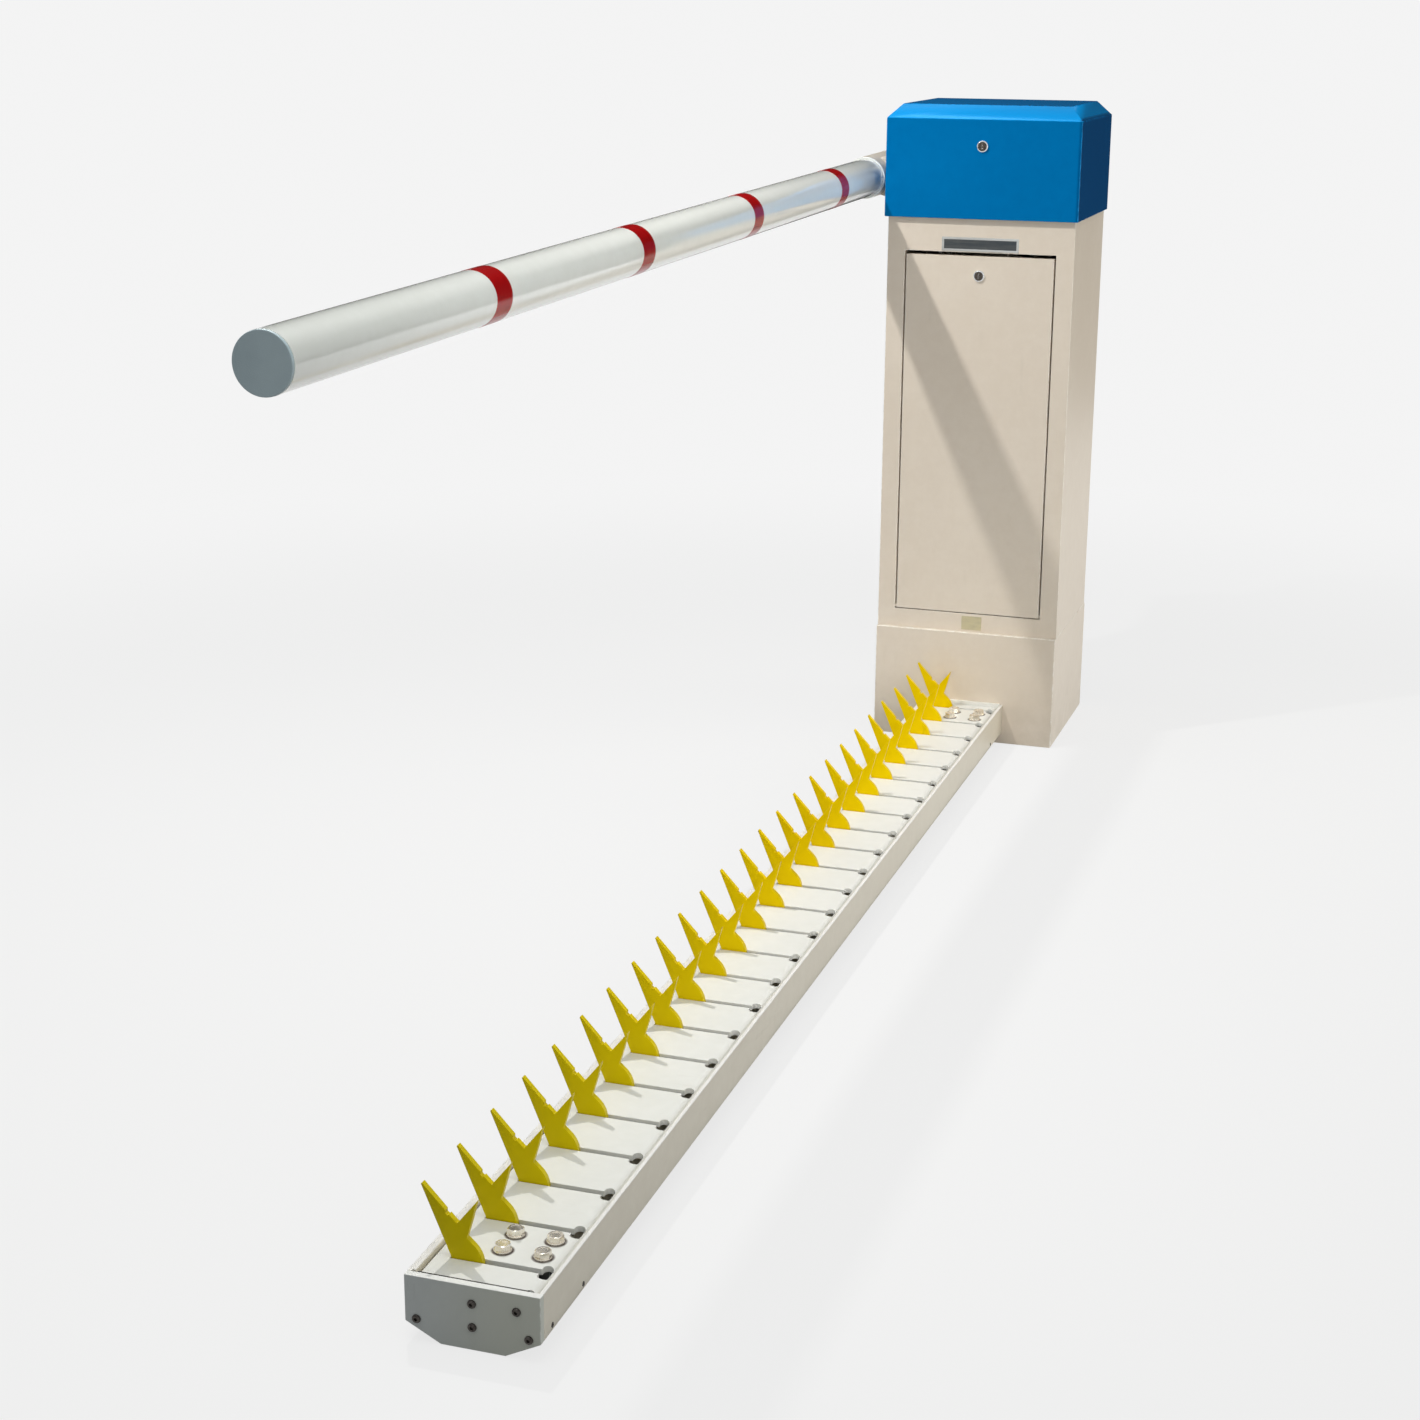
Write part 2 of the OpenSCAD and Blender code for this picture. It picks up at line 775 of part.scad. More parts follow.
// Deck on top of the body, side plate for the gearbox and catch for the lid lock
module chassis() {
    px = bx - 12;
    color("#9a9c98")
        difference() {
            union() {
                box([-px, -by + 12, deck_z], [px, by - 12, deck_top]);
                box(
                    [gear_x0 - gear_rim, gear_y0 - 6 + gear_shift, gear_z0 - 20],
                    [gear_x1 + gear_rim, gear_y0 + gear_shift, deck_top - 1]
                );
                box([catch_x, 20, deck_top - 1], [catch_x + 5, 45, lid_lock_z + 11]);
                box([catch_x, 20, lid_lock_z + 8], [catch_x + 18, 45, lid_lock_z + 11]);
            }
            box([-spring_r - 30, arm_y - 8, deck_z - 1], [deck_cut_x1, spring_y + 26, deck_top + 1]);
            y_rod(0, crank_z, gear_y0 - 7 + gear_shift, gear_y0 + 1 + gear_shift, 34);
            for (sx = [-1, 1])
                for (y = pillow_y)
                    translate([sx * pillow_bolt_x, y, deck_z - 1])
                        cylinder(h = deck_t + 2, r = pillow_bolt_r);
        }
}

module pillow_blocks() {
    half = 18;
    color("#6e7478")
        for (y = pillow_y)
            difference() {
                union() {
                    box([-70, y - half, deck_top], [70, y + half, deck_top + pillow_base]);
                    translate([0, y + half - 3, deck_top])
                        rotate([90, 0, 0])
                            linear_extrude(2 * half - 6)
                                polygon([
                                    [-64, 0], [64, 0], [pillow_r - 2, shaft_up], [2 - pillow_r, shaft_up]
                                ]);
                    y_rod(0, shaft_z, y - half, y + half, pillow_r);
                }
                y_rod(0, shaft_z, y - half - 1, y + half + 1, shaft_r + run_play);
                for (s = [-1, 1]) {
                    translate([s * pillow_bolt_x, y, deck_top - 1])
                        cylinder(h = pillow_base + 30, r = pillow_bolt_r + 0.3);
                    translate([s * pillow_bolt_x, y, deck_top + pillow_base])
                        cylinder(h = 60, r = 2 * pillow_bolt_r + 2);
                }
            }
}

module boom_shaft() {
    color("#8b8f92") {
        y_rod(0, shaft_z, flange_y, by - 44, shaft_r);
        difference() {
            y_rod(0, shaft_z, flange_y - flange_t, flange_y, flange_r);
            flange_spots(flange_y - flange_t - 1, flange_y - 2, flange_bolt_r);
        }
    }
}

// Tapered arm with a round eye, pointing along the direction of turn in the X-Z plane
module arm(turn, reach, root) {
    rotate([0, turn, 0])
        translate([0, arm_t, 0])
            rotate([90, 0, 0])
                linear_extrude(arm_t)
                    polygon([[0, -root], [reach, -eye_r + 3], [reach, eye_r - 3], [0, root]]);
}

module boom_lever() {
    hub_r = shaft_r + 12;
    color("#7c8084")
        difference() {
            union() {
                y_rod(0, shaft_z, arm_y - 4, arm_y + arm_t + 4, hub_r);
                translate([0, arm_y, shaft_z]) {
                    arm(45, crank_r, hub_r - 8);
                    arm(225, spring_r, hub_r - 8);
                }
                y_rod(pin_x, shaft_z + pin_dz, arm_y - 1, arm_y + arm_t + 0.5, eye_r);
                y_rod(spring_x, spring_top, arm_y - 1, arm_y + arm_t + 0.5, eye_r);
                y_rod(pin_x, shaft_z + pin_dz, arm_y + 1, rod_y + rod_t + 3, pin_r);
                y_rod(spring_x, spring_top, arm_y + 1, spring_y + 14, spring_pin_r);
            }
            y_rod(0, shaft_z, arm_y - 5, arm_y + arm_t + 5, shaft_r);
        }
}

module on_boom() {
    translate([0, boom_y, shaft_z])
        rotate([0, boom_droop, 0])
            children();
}

module holder_spots() {
    for (x = [sleeve_x0 + 25, sleeve_x1 - 25])
        translate([x, -boom_r - sleeve_t - 9, 0])
            children();
}

module flange_spots(y0, y1, r) {
    for (sx = [-1, 1])
        for (sz = [-1, 1])
            y_rod(sx * 24, shaft_z + sz * 33, y0, y1, r);
}

// Sleeve with clamp ears, welded to a back plate with two ribs
module boom_holder() {
    back_y = flange_y - flange_t;
    plate_y = back_y - holder_t;
    sleeve_r = boom_r + sleeve_t;
    color("#d3c4a8")
        difference() {
            union() {
                on_boom()
                    x_rod(0, 0, sleeve_x0, sleeve_x1, sleeve_r);
                on_boom()
                    box([sleeve_x0 + 5, -sleeve_r - 18, -12], [sleeve_x1 - 5, -boom_r + 4, 12]);
                box([-56, plate_y, shaft_z - 46], [56, back_y, shaft_z + 46]);
                for (x = [-52, 44])
                    along_x(x, x + 8)
                        polygon([
                            [boom_y + 10, shaft_z - 34], [plate_y + 1, shaft_z - 42],
                            [plate_y + 1, shaft_z + 42], [boom_y + 10, shaft_z + 34]
                        ]);
            }
            on_boom() {
                x_rod(0, 0, sleeve_x0 - 1, sleeve_x1 + 1, boom_r);
                box([sleeve_x0 - 1, -sleeve_r - 30, -2], [sleeve_x1 + 1, -boom_r + 5, 2]);
                holder_spots()
                    translate([0, 0, -20])
                        cylinder(h = 40, r = 4.3);
            }
            flange_spots(plate_y - 1, back_y + 1, flange_bolt_r + 0.3);
        }
}

module holder_bolts() {
    plate_y = flange_y - flange_t - holder_t;
    color("#c9c6bc") {
        on_boom()
            holder_spots() {
                translate([0, 0, 12])
                    hex_bolt(4, 34);
                translate([0, 0, -18.5])
                    cylinder(h = 6.5, r = 7.2, $fn = 6);
            }
        flange_spots(plate_y - 1, plate_y + holder_t + flange_t - 4, flange_bolt_r);
        flange_spots(plate_y - 5, plate_y, 1.6 * flange_bolt_r);
    }
}

module boom_tube() {
    color("#eef0ee")
        on_boom()
            difference() {
                x_rod(0, 0, sleeve_x0 + 4, boom_len - 5, boom_r);
                x_rod(0, 0, sleeve_x0 + 3, boom_len, boom_r - boom_t);
            }
}

module boom_cap() {
    color("#727c88")
        on_boom() {
            x_rod(0, 0, boom_len - 5, boom_len, boom_r - 0.4);
            x_rod(0, 0, boom_len - 30, boom_len - 4.9, boom_r - boom_t);
        }
}

module boom_bands() {
    color("#c01818")
        on_boom()
            for (x = [boom_len - band_end : -band_pitch : sleeve_x1 + band_w])
                translate([x, 0, 0])
                    difference() {
                        x_rod(0, 0, -band_w / 2, band_w / 2, boom_r + 0.3);
                        x_rod(0, 0, -band_w, band_w, boom_r);
                    }
}

module gearbox() {
    y0 = gear_y0 + gear_shift;
    y1 = gear_y1 + gear_shift;
    x0 = gear_x0;
    x1 = gear_x1;
    c = 10;
    color("#5f6a72")
        difference() {
            union() {
                translate([0, y1 - 6, 0])
                    rotate([90, 0, 0])
                        linear_extrude(y1 - y0 - 6)
                            housing(x0, x1, gear_z0, gear_z1, c);
                // Bolted side cover
                translate([0, y1, 0])
                    rotate([90, 0, 0])
                        linear_extrude(7)
                            housing(x0 + 3, x1 - 3, gear_z0 + 3, gear_z1 - 3, c);
                for (x = [x0 + 14, x1 - 14])
                    for (z = [gear_z0 + 14, gear_z1 - 14])
                        y_rod(x, z, y1 - 1, y1 + 4, 7);
                y_rod(0, crank_z, y1 - 1, y1 + 5, 38);
                translate([torque_x, pivot_y, gear_z0 - 8])
                    cylinder(h = 9, r = 26);
            }
            y_rod(0, crank_z, y0 + 30, y1 + 6, out_shaft_r + run_play);
            translate([torque_x, pivot_y, gear_z0 - 9])
                cylinder(h = 40, r = torque_r + run_play);
        }
}

module housing(x0, x1, z0, z1, c) {
    polygon([
        [x0 + c, z0], [x1 - c, z0], [x1, z0 + c], [x1, z1 - c],
        [x1 - c, z1], [x0 + c, z1], [x0, z1 - c], [x0, z0 + c]
    ]);
}

module motor() {
    fins = 18;
    color("#4d5a66")
        translate([15, pivot_y, gear_z0]) {
            translate([0, 0, -10])
                cylinder(h = 10, r = 44);
            translate([0, 0, -160])
                cylinder(h = 150.5, r = 38);
            for (i = [0 : fins - 1])
                rotate([0, 0, 360 * (i + 0.5) / fins])
                    box([36, -1.5, -152], [43, 1.5, -18]);
            translate([0, 0, -196])
                cylinder(h = 38, r = 43);
            translate([0, 0, -205])
                cylinder(h = 9.5, r1 = 36, r2 = 43);
            box([-20, -62, -110], [30, -35, -40]);
        }
}

module drive_crank() {
    color("#8b8f92") {
        y_rod(0, crank_z, gear_y1 + gear_shift - 60, arm_y + arm_t + 2, out_shaft_r);
        y_rod(0, crank_z, arm_y - 2, arm_y + arm_t + 1, 27);
        translate([0, arm_y, crank_z])
            arm(45, crank_r, 19);
        y_rod(pin_x, crank_z + pin_dz, arm_y - 1, arm_y + arm_t + 0.5, eye_r);
        y_rod(pin_x, crank_z + pin_dz, arm_y + 1, rod_y + rod_t + 3, pin_r);
    }
}

// Round tie rod with an eye and a lock nut at each end
module drive_rod() {
    z0 = crank_z + pin_dz;
    z1 = shaft_z + pin_dz;
    mid = rod_y + rod_t / 2;
    color("#a3a49c")
        difference() {
            union() {
                for (z = [z0, z1])
                    y_rod(pin_x, z, rod_y, rod_y + rod_t, rod_eye_r);
                translate([pin_x, mid, z0])
                    cylinder(h = z1 - z0, r = rod_t / 2 - 1);
                for (z = [z0 + rod_eye_r - 2, z1 - rod_eye_r - 8])
                    translate([pin_x, mid, z])
                        cylinder(h = 10, r = rod_t / 2 + 3, $fn = 6);
            }
            y_rod(pin_x, z0, rod_y - 1, rod_y + rod_t + 1, pin_r + run_play);
            y_rod(pin_x, z1, rod_y - 1, rod_y + rod_t + 1, pin_r + 0.5);
        }
}

// Sweeps a round wire along a path, with a frame carried from point to point
function unit(v) = v / norm(v);
function path_dirs(p) = [
    for (i = [0 : len(p) - 1]) unit(p[min(i + 1, len(p) - 1)] - p[max(i - 1, 0)])
];
function carried(t) = [
    for (
        i = 0, n = unit(cross(t[0], [0.2, 1, 0.3]));
        i < len(t);
        i = i + 1, n = i < len(t) ? unit(n - (n * t[i]) * t[i]) : n
    ) n
];

module wire(path, r, sides) {
    dirs = path_dirs(path);
    normals = carried(dirs);
    last = len(path) - 1;
    points = [
        for (i = [0 : last])
            for (k = [0 : sides - 1])
                path[i] + r * cos(360 * k / sides) * normals[i]
                    + r * sin(360 * k / sides) * cross(dirs[i], normals[i])
    ];
    sleeve = [
        for (i = [0 : last - 1])
            for (k = [0 : sides - 1])
                let (a = i * sides + k, b = i * sides + (k + 1) % sides)
                    each [[a, a + sides, b], [b, a + sides, b + sides]]
    ];
    ends = [
        for (k = [1 : sides - 2])
            each [[0, k, k + 1], [last * sides, last * sides + k + 1, last * sides + k]]
    ];
    polyhedron(points, concat(sleeve, ends));
}

// Extension spring: a hook round each pin and the coil between them
module balance_spring() {
    z0 = spring_foot + 26;
    z1 = spring_top - 26;
    rings = 10;
    hook = [for (a = [-200 : 14.5 : 90]) spring_hook_r * [cos(a), 0, sin(a)]];
    foot = [for (p = hook) p + [0, 0, spring_foot]];
    head = [for (a = [-90 : 14.5 : 200]) spring_hook_r * [cos(a), 0, sin(a)] + [0, 0, spring_top]];
    coil = [
        for (k = [0 : rings * spring_turns])
            let (a = 180 + 360 * k / rings, z = z0 + (z1 - z0) * k / (rings * spring_turns))
                [spring_coil_r * cos(a), spring_coil_r * sin(a), z]
    ];
    lead = [[-7, 0, spring_foot + 12], [-13, 0, spring_foot + 18]];
    tail = [[-13, 0, spring_top - 18], [-7, 0, spring_top - 12]];
    color("#3f4346")
        translate([spring_x, spring_y, 0])
            wire(concat(foot, lead, coil, tail, head), spring_wire_r, 6);
}

// Two hubs with a soft star between them
module coupling(l, r) {
    cylinder(h = l, r = r - 4);
    cylinder(h = l / 2 - 4, r = r);
    translate([0, 0, l / 2 + 4])
        cylinder(h = l / 2 - 4, r = r);
}

module torque_shaft() {
    color("#8f9192")
        translate([torque_x, pivot_y, 0]) {
            translate([0, 0, base_gear_z1 - 25])
                cylinder(h = gear_z0 + 27 - base_gear_z1 + 25, r = torque_r);
            for (z = [base_gear_z1 + 14, gear_z0 - 80])
                translate([0, 0, z])
                    coupling(56, 23);
        }
}

module base_gearbox() {
    color("#5f6a72")
        difference() {
            union() {
                box([torque_x - 50, pivot_y - 50, base_t], [torque_x + 50, pivot_y + 50, base_gear_z1]);
                x_rod(pivot_y, pivot_z, torque_x + 49, torque_x + 56, 30);
                translate([torque_x, pivot_y, base_gear_z1 - 1])
                    cylinder(h = 8, r = 30);
            }
            x_rod(pivot_y, pivot_z, torque_x + 23, torque_x + 57, spike_shaft_d / 2 + run_play);
            translate([torque_x, pivot_y, base_gear_z1 - 27])
                cylinder(h = 40, r = torque_r + run_play);
        }
}

module control_box() {
    x0 = 51 - bx;
    x1 = bx - 71;
    mid = (x0 + x1) / 2;
    z0 = plinth_h + control_up;
    y1 = by - sheet_t;
    half_x = (x1 - x0) / 2 + control_rim;
    half_z = control_h / 2 + control_rim;
    gland_step = 60;
    color("#c3c6c4") {
        box([x0, y1 - control_depth, z0], [x1, y1, z0 + control_h]);
        translate([mid, y1 - control_depth + 0.1, z0 + control_h / 2])
            rotate([90, 0, 0])
                linear_extrude(10)
                    housing(-half_x, half_x, -half_z, half_z, 6);
        for (k = [-1, 0, 1])
            translate([mid + k * gland_step, y1 - control_depth / 2, z0 - 16])
                cylinder(h = 17, r = 11);
    }
}

plinth();
cabinet_body();
chassis();
pillow_blocks();
gearbox();
motor();
control_box();
base_gearbox();
hex_bolts();
blank_plates();
strip_channel();
strip_cover();
cover_blocks();
end_frame();
end_plate();
joint_plate();
shaft_bearings();
strip_screws();
boom_shaft();
boom_lever();
boom_holder();
holder_bolts();
boom_tube();
boom_cap();
boom_bands();
drive_crank();
drive_rod();
balance_spring();
torque_shaft();
spike_shaft();
cabinet_lid();
lid_lock();
cabinet_door();
door_lock();
for (i = [1 : spike_count])
    spike(i);
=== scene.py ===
import json
import math
import bpy
import bmesh
from mathutils import Matrix, Vector

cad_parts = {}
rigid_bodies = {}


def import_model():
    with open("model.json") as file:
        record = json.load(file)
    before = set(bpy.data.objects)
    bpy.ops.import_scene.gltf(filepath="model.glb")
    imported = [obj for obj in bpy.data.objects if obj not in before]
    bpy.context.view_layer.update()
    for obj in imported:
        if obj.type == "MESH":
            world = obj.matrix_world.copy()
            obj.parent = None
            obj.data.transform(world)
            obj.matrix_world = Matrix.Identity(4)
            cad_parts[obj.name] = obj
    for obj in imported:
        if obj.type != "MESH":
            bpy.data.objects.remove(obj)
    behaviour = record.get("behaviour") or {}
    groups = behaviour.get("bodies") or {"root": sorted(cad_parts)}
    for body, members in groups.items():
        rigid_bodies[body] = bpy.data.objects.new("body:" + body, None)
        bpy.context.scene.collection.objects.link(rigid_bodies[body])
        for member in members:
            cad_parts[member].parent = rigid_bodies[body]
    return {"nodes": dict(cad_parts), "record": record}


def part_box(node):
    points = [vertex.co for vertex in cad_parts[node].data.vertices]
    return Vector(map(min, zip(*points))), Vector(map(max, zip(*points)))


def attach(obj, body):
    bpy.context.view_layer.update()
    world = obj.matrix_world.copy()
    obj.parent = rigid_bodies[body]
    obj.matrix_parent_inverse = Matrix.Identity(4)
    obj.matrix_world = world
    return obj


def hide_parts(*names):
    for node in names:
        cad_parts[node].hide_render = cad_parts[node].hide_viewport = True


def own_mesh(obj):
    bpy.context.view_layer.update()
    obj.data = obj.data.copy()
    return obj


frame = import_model()
nodes = frame["nodes"]
bodyOf = {node: body for body, held in frame["record"]["behaviour"]["bodies"].items() for node in held}
slotOf = {entry["node"]: entry["material_slot"] for entry in frame["record"]["subparts"]}
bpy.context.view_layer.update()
scene = bpy.context.scene
print("stage: frame loaded,", len(nodes), "nodes")


# camera: taken from the straight edges of cabinet and strip in the photograph
cameraSet = {"place": (4.9059, 1.0158, 1.4762), "yaw": 18.267, "pitch": 16.396, "roll": 0.366,
             "focalPx": 2433.81, "imagePx": 1420, "sensorMm": 36.0, "clipEnd": 60}


def makeCamera(s):
    yaw, pitch, roll = (math.radians(s[k]) for k in ("yaw", "pitch", "roll"))
    level = math.cos(pitch)
    ahead = Vector((-math.cos(yaw) * level, -math.sin(yaw) * level, -math.sin(pitch)))
    right = ahead.cross(Vector((0, 0, 1))).normalized()
    up = right.cross(ahead)
    rolledRight = right * math.cos(roll) + up * math.sin(roll)
    rolledUp = up * math.cos(roll) - right * math.sin(roll)
    data = bpy.data.cameras.new("photoCamera")
    data.sensor_fit = "HORIZONTAL"
    data.sensor_width = s["sensorMm"]
    data.lens = s["sensorMm"] * s["focalPx"] / s["imagePx"]
    data.clip_end = s["clipEnd"]
    cam = bpy.data.objects.new("photoCamera", data)
    turn = Matrix((rolledRight, rolledUp, -ahead)).transposed().to_4x4()
    cam.matrix_world = Matrix.Translation(Vector(s["place"])) @ turn
    scene.collection.objects.link(cam)
    scene.camera = cam


makeCamera(cameraSet)
print("stage: camera set")


# shader maths: a socket with arithmetic, and one method for every other node
class Wire:
    def __init__(self, tree, socket=None):
        self.tree = tree
        self.socket = socket

    def node(self, kind, settings=None, inputs=None, out=0):
        made = self.tree.nodes.new(kind)
        for key, value in (settings or {}).items():
            setattr(made, key, value)
        for key, value in (inputs or {}).items():
            if isinstance(value, Wire):
                self.tree.links.new(value.socket, made.inputs[key])
            else:
                made.inputs[key].default_value = value
        return Wire(self.tree, made.outputs[out] if len(made.outputs) else None)

    def maths(self, operation, *values):
        return self.node("ShaderNodeMath", {"operation": operation}, dict(enumerate(values)))

    def __add__(self, other):
        return self.maths("ADD", self, other)

    __radd__ = __add__

    def __mul__(self, other):
        return self.maths("MULTIPLY", self, other)

    def __sub__(self, other):
        return self.maths("SUBTRACT", self, other)

    def __rsub__(self, other):
        return self.maths("SUBTRACT", other, self)

    def __abs__(self):
        return self.maths("ABSOLUTE", self)

    def swing(self):    # a noise taken about its middle
        return self - 0.5

    def clamped(self, low, high):    # 0 below low, 1 above high, smooth between
        return self.node("ShaderNodeMapRange", {"interpolation_type": "SMOOTHSTEP"},
                         {"Value": self, "From Min": low, "From Max": high})

    def mixed(self, a, b):    # colour a where self is 0, b where it is 1, on the node's colour sockets
        return self.node("ShaderNodeMix", {"data_type": "RGBA"}, {0: self, 6: a, 7: b}, 2)

    def axis(self, letter):
        return self.node("ShaderNodeSeparateXYZ", None, {0: self}, letter)

    def noise(self, scale, detail=4.0, rough=0.55, stretch=(1, 1, 1)):
        place = self.node("ShaderNodeMapping", None, {"Vector": self, "Scale": stretch})
        return self.node("ShaderNodeTexNoise", None,
                         {"Vector": place, "Scale": scale, "Detail": detail, "Roughness": rough})

    def mark(self, name):    # a value stored on the piece's own mesh
        return self.node("ShaderNodeAttribute", {"attribute_name": name}, out="Fac")

    def bump(self, strength, depth):    # self is the height
        return self.node("ShaderNodeBump", None, {"Strength": strength, "Distance": depth, "Height": self})


def rgb(r, g, b):    # screen values 0-255 to linear light
    def lin(c):
        c = c / 255.0
        return c / 12.92 if c <= 0.04045 else ((c + 0.055) / 1.055) ** 2.4
    return (lin(r), lin(g), lin(b), 1.0)


def startMaterial(name):    # the material, and the place on the piece that its patterns follow
    mat = bpy.data.materials.new(name)
    mat.use_nodes = True
    return mat, Wire(mat.node_tree).node("ShaderNodeTexCoord", out="Object")


def plug(mat, values):
    shader = mat.node_tree.nodes["Principled BSDF"]
    for key, value in values.items():
        if isinstance(value, Wire):
            mat.node_tree.links.new(value.socket, shader.inputs[key])
        else:
            shader.inputs[key].default_value = value
    return mat


# powder coat: fine orange peel, faint tone drift, painted light and shade along one axis, handling marks, lighter
# rounded edges (rubbed paint, partly a painted edge highlight), painted contact shade with grime round bolts, dust
# near the ground
coatSet = {    # a noise is scale, detail and roughness, a span is where a mask starts and where it is full
    "drift": (2.1, 3.0), "fine": (47.0, 4.0, 0.6), "driftShare": 0.65, "fineShare": 0.35,
    "toneSpan": (0.36, 0.64),
    "marksScale": 26.0, "marksDetail": 6.0, "marksRough": 0.68, "marksStretch": (1, 1, 0.25),
    "marksSpan": (0.60, 0.80), "dustNoise": (18.0, 5.0, 0.65), "dustSpan": (0.3, 0.7),
    "ringNoise": (240.0, 3.0), "ringLeast": 0.55, "ringMore": 0.7,
    "rubNoise": (58.0, 5.0, 0.7), "rubSpan": (0.35, 0.65), "peelDetail": 2.0, "fineHeight": 0.25,
    "bumpDepth": 0.0004, "wornDull": 0.14, "driftDull": 0.08,
    "gloss": 0.5, "glossTint": (1, 1, 1, 1), "coat": 0.0, "coatRough": 0.06, "sweeps": []}


def powderCoat(name, own):
    s = {**coatSet, **own}
    mat, place = startMaterial(name)
    drift = place.noise(*s["drift"])
    fine = place.noise(*s["fine"])
    patches = drift * s["driftShare"] + fine * s["fineShare"]
    tone = patches.clamped(*s["toneSpan"]).mixed(s["dark"], s["light"])
    marks = place.noise(s["marksScale"], s["marksDetail"], s["marksRough"], s["marksStretch"])
    worn = marks.clamped(*s["marksSpan"]) * s["marks"]
    tone = worn.mixed(tone, s["marksTone"])
    for w in s["sweeps"]:    # painted light and shade: tone that changes along one axis
        tone = (place.axis(w["axis"]).clamped(w["from"], w["to"]) * w["amount"]).mixed(tone, w["tone"])
    if "dust" in s:
        low = 1 - place.axis("Z").clamped(0.0, s["dustHeight"])
        settled = low * place.noise(*s["dustNoise"]).clamped(*s["dustSpan"]) * s["dust"]
        tone = settled.mixed(tone, s["dustTone"])
    if "rings" in s:    # painted contact shade mixed with grime, in the joint round each cover bolt
        g = s["rings"]
        alongStrip = abs(abs(abs(place.axis("X") - g["midX"]) - g["halfSpan"]) - g["halfX"])
        across = abs(place.axis("Y") - g["midY"]) - g["halfY"]
        away = place.maths("SQRT", alongStrip * alongStrip + across * across)
        shadeAndGrime = s["ringLeast"] + place.noise(*s["ringNoise"]) * s["ringMore"]
        ring = (1 - away.clamped(g["inner"], g["outer"])) * shadeAndGrime
        tone = (ring * g["amount"]).mixed(tone, g["tone"])
    # lighter rounded edges: rubbed paint, and partly a painted edge highlight
    if "edge" in s:
        wornAndLitEdge = place.mark("edge") * place.noise(*s["rubNoise"]).clamped(*s["rubSpan"]) * s["edge"]
        tone = wornAndLitEdge.mixed(tone, s["edgeTone"])
    height = place.noise(s["peel"], s["peelDetail"]) + fine * s["fineHeight"]
    return plug(mat, {
        "Base Color": tone, "Roughness": s["rough"] + worn * s["wornDull"] + drift.swing() * s["driftDull"],
        "Normal": height.bump(s["bump"], s["bumpDepth"]), "Specular IOR Level": s["gloss"],
        "Specular Tint": s["glossTint"], "Coat Weight": s["coat"], "Coat Roughness": s["coatRough"]})


# bare or plated metal: drawn lines, stains in patches
steelSet = {
    "grainStretch": (1, 1, 1), "lineDetail": 3.0, "lineRough": 0.6, "lineSpan": (0.3, 0.7), "lineDull": 0.1,
    "stainDetail": 5.0, "stainRough": 0.65, "stainSpan": (0.45, 0.75), "stainDull": 0.18, "bumpDepth": 0.0003}


def steelFinish(name, own):
    s = {**steelSet, **own}
    mat, place = startMaterial(name)
    lines = place.noise(s["grain"], s["lineDetail"], s["lineRough"], s["grainStretch"])
    stain = place.noise(s["stainScale"], s["stainDetail"], s["stainRough"]).clamped(*s["stainSpan"])
    tone = lines.clamped(*s["lineSpan"]).mixed(s["dark"], s["light"])
    tone = (stain * s["stain"]).mixed(tone, s["stainTone"])
    return plug(mat, {
        "Base Color": tone, "Metallic": s["metal"], "Normal": lines.bump(s["bump"], s["bumpDepth"]),
        "Roughness": s["rough"] + stain * s["stainDull"] + lines.swing() * s["lineDull"]})


# moulded plastic: fine leather-like grain
plasticSet = {"drift": (14.0, 4.0), "toneSpan": (0.3, 0.7), "driftDull": 0.12, "bumpDepth": 0.0003}


def mouldedPlastic(name, own):
    s = {**plasticSet, **own}
    mat, place = startMaterial(name)
    grain = place.node("ShaderNodeTexVoronoi", {"feature": "F1"}, {"Vector": place, "Scale": s["grain"]})
    drift = place.noise(*s["drift"])
    tone = drift.clamped(*s["toneSpan"]).mixed(s["dark"], s["light"])
    return plug(mat, {
        "Base Color": tone, "Roughness": s["rough"] + drift.swing() * s["driftDull"],
        "Normal": grain.bump(s["bump"], s["bumpDepth"])})


# cover bolt rings: a dark brown ring round each bolt, painted contact shade mixed with grime
boltRings = {"midX": 1.4085, "halfSpan": 1.15, "halfX": 0.0195, "midY": 0.02385, "halfY": 0.02515,
             "inner": 0.0120, "outer": 0.0152, "amount": 1.0, "tone": rgb(64, 44, 30)}
# cabinet paint: the light rounded edges are partly rubbed paint, partly a painted highlight, such as along the
# plinth's top edge
creamPaint = powderCoat("creamPaint", {
    "light": rgb(229, 218, 203), "dark": rgb(224, 212, 196), "marksTone": rgb(206, 196, 180), "marks": 0.3,
    "peel": 620.0, "bump": 0.05, "rough": 0.38, "gloss": 0.35,
    "dust": 0.4, "dustHeight": 0.16, "dustTone": rgb(196, 184, 164), "edge": 0.8, "edgeTone": rgb(250, 246, 238)})
# lid paint: the band on the chamfer, lighter than front and top, is a painted highlight; the darker right side
# beyond y 0.184 is painted shade
bluePaint = powderCoat("bluePaint", {
    "light": rgb(0, 112, 178), "dark": rgb(0, 107, 171), "marksTone": rgb(0, 124, 190), "marks": 0.3,
    "peel": 620.0, "bump": 0.04, "rough": 0.22, "gloss": 0.4, "glossTint": (0.02, 0.55, 1.0, 1),
    "edge": 0.5, "edgeTone": rgb(10, 146, 224),
    "sweeps": [{"axis": "Z", "from": 1.2465, "to": 1.2485, "amount": 0.85, "tone": rgb(0, 150, 226)},
               {"axis": "Z", "from": 1.2728, "to": 1.2738, "amount": 0.9, "tone": rgb(0, 110, 174)},
               {"axis": "Y", "from": 0.184, "to": 0.1905, "amount": 0.9, "tone": rgb(0, 70, 124)}]})
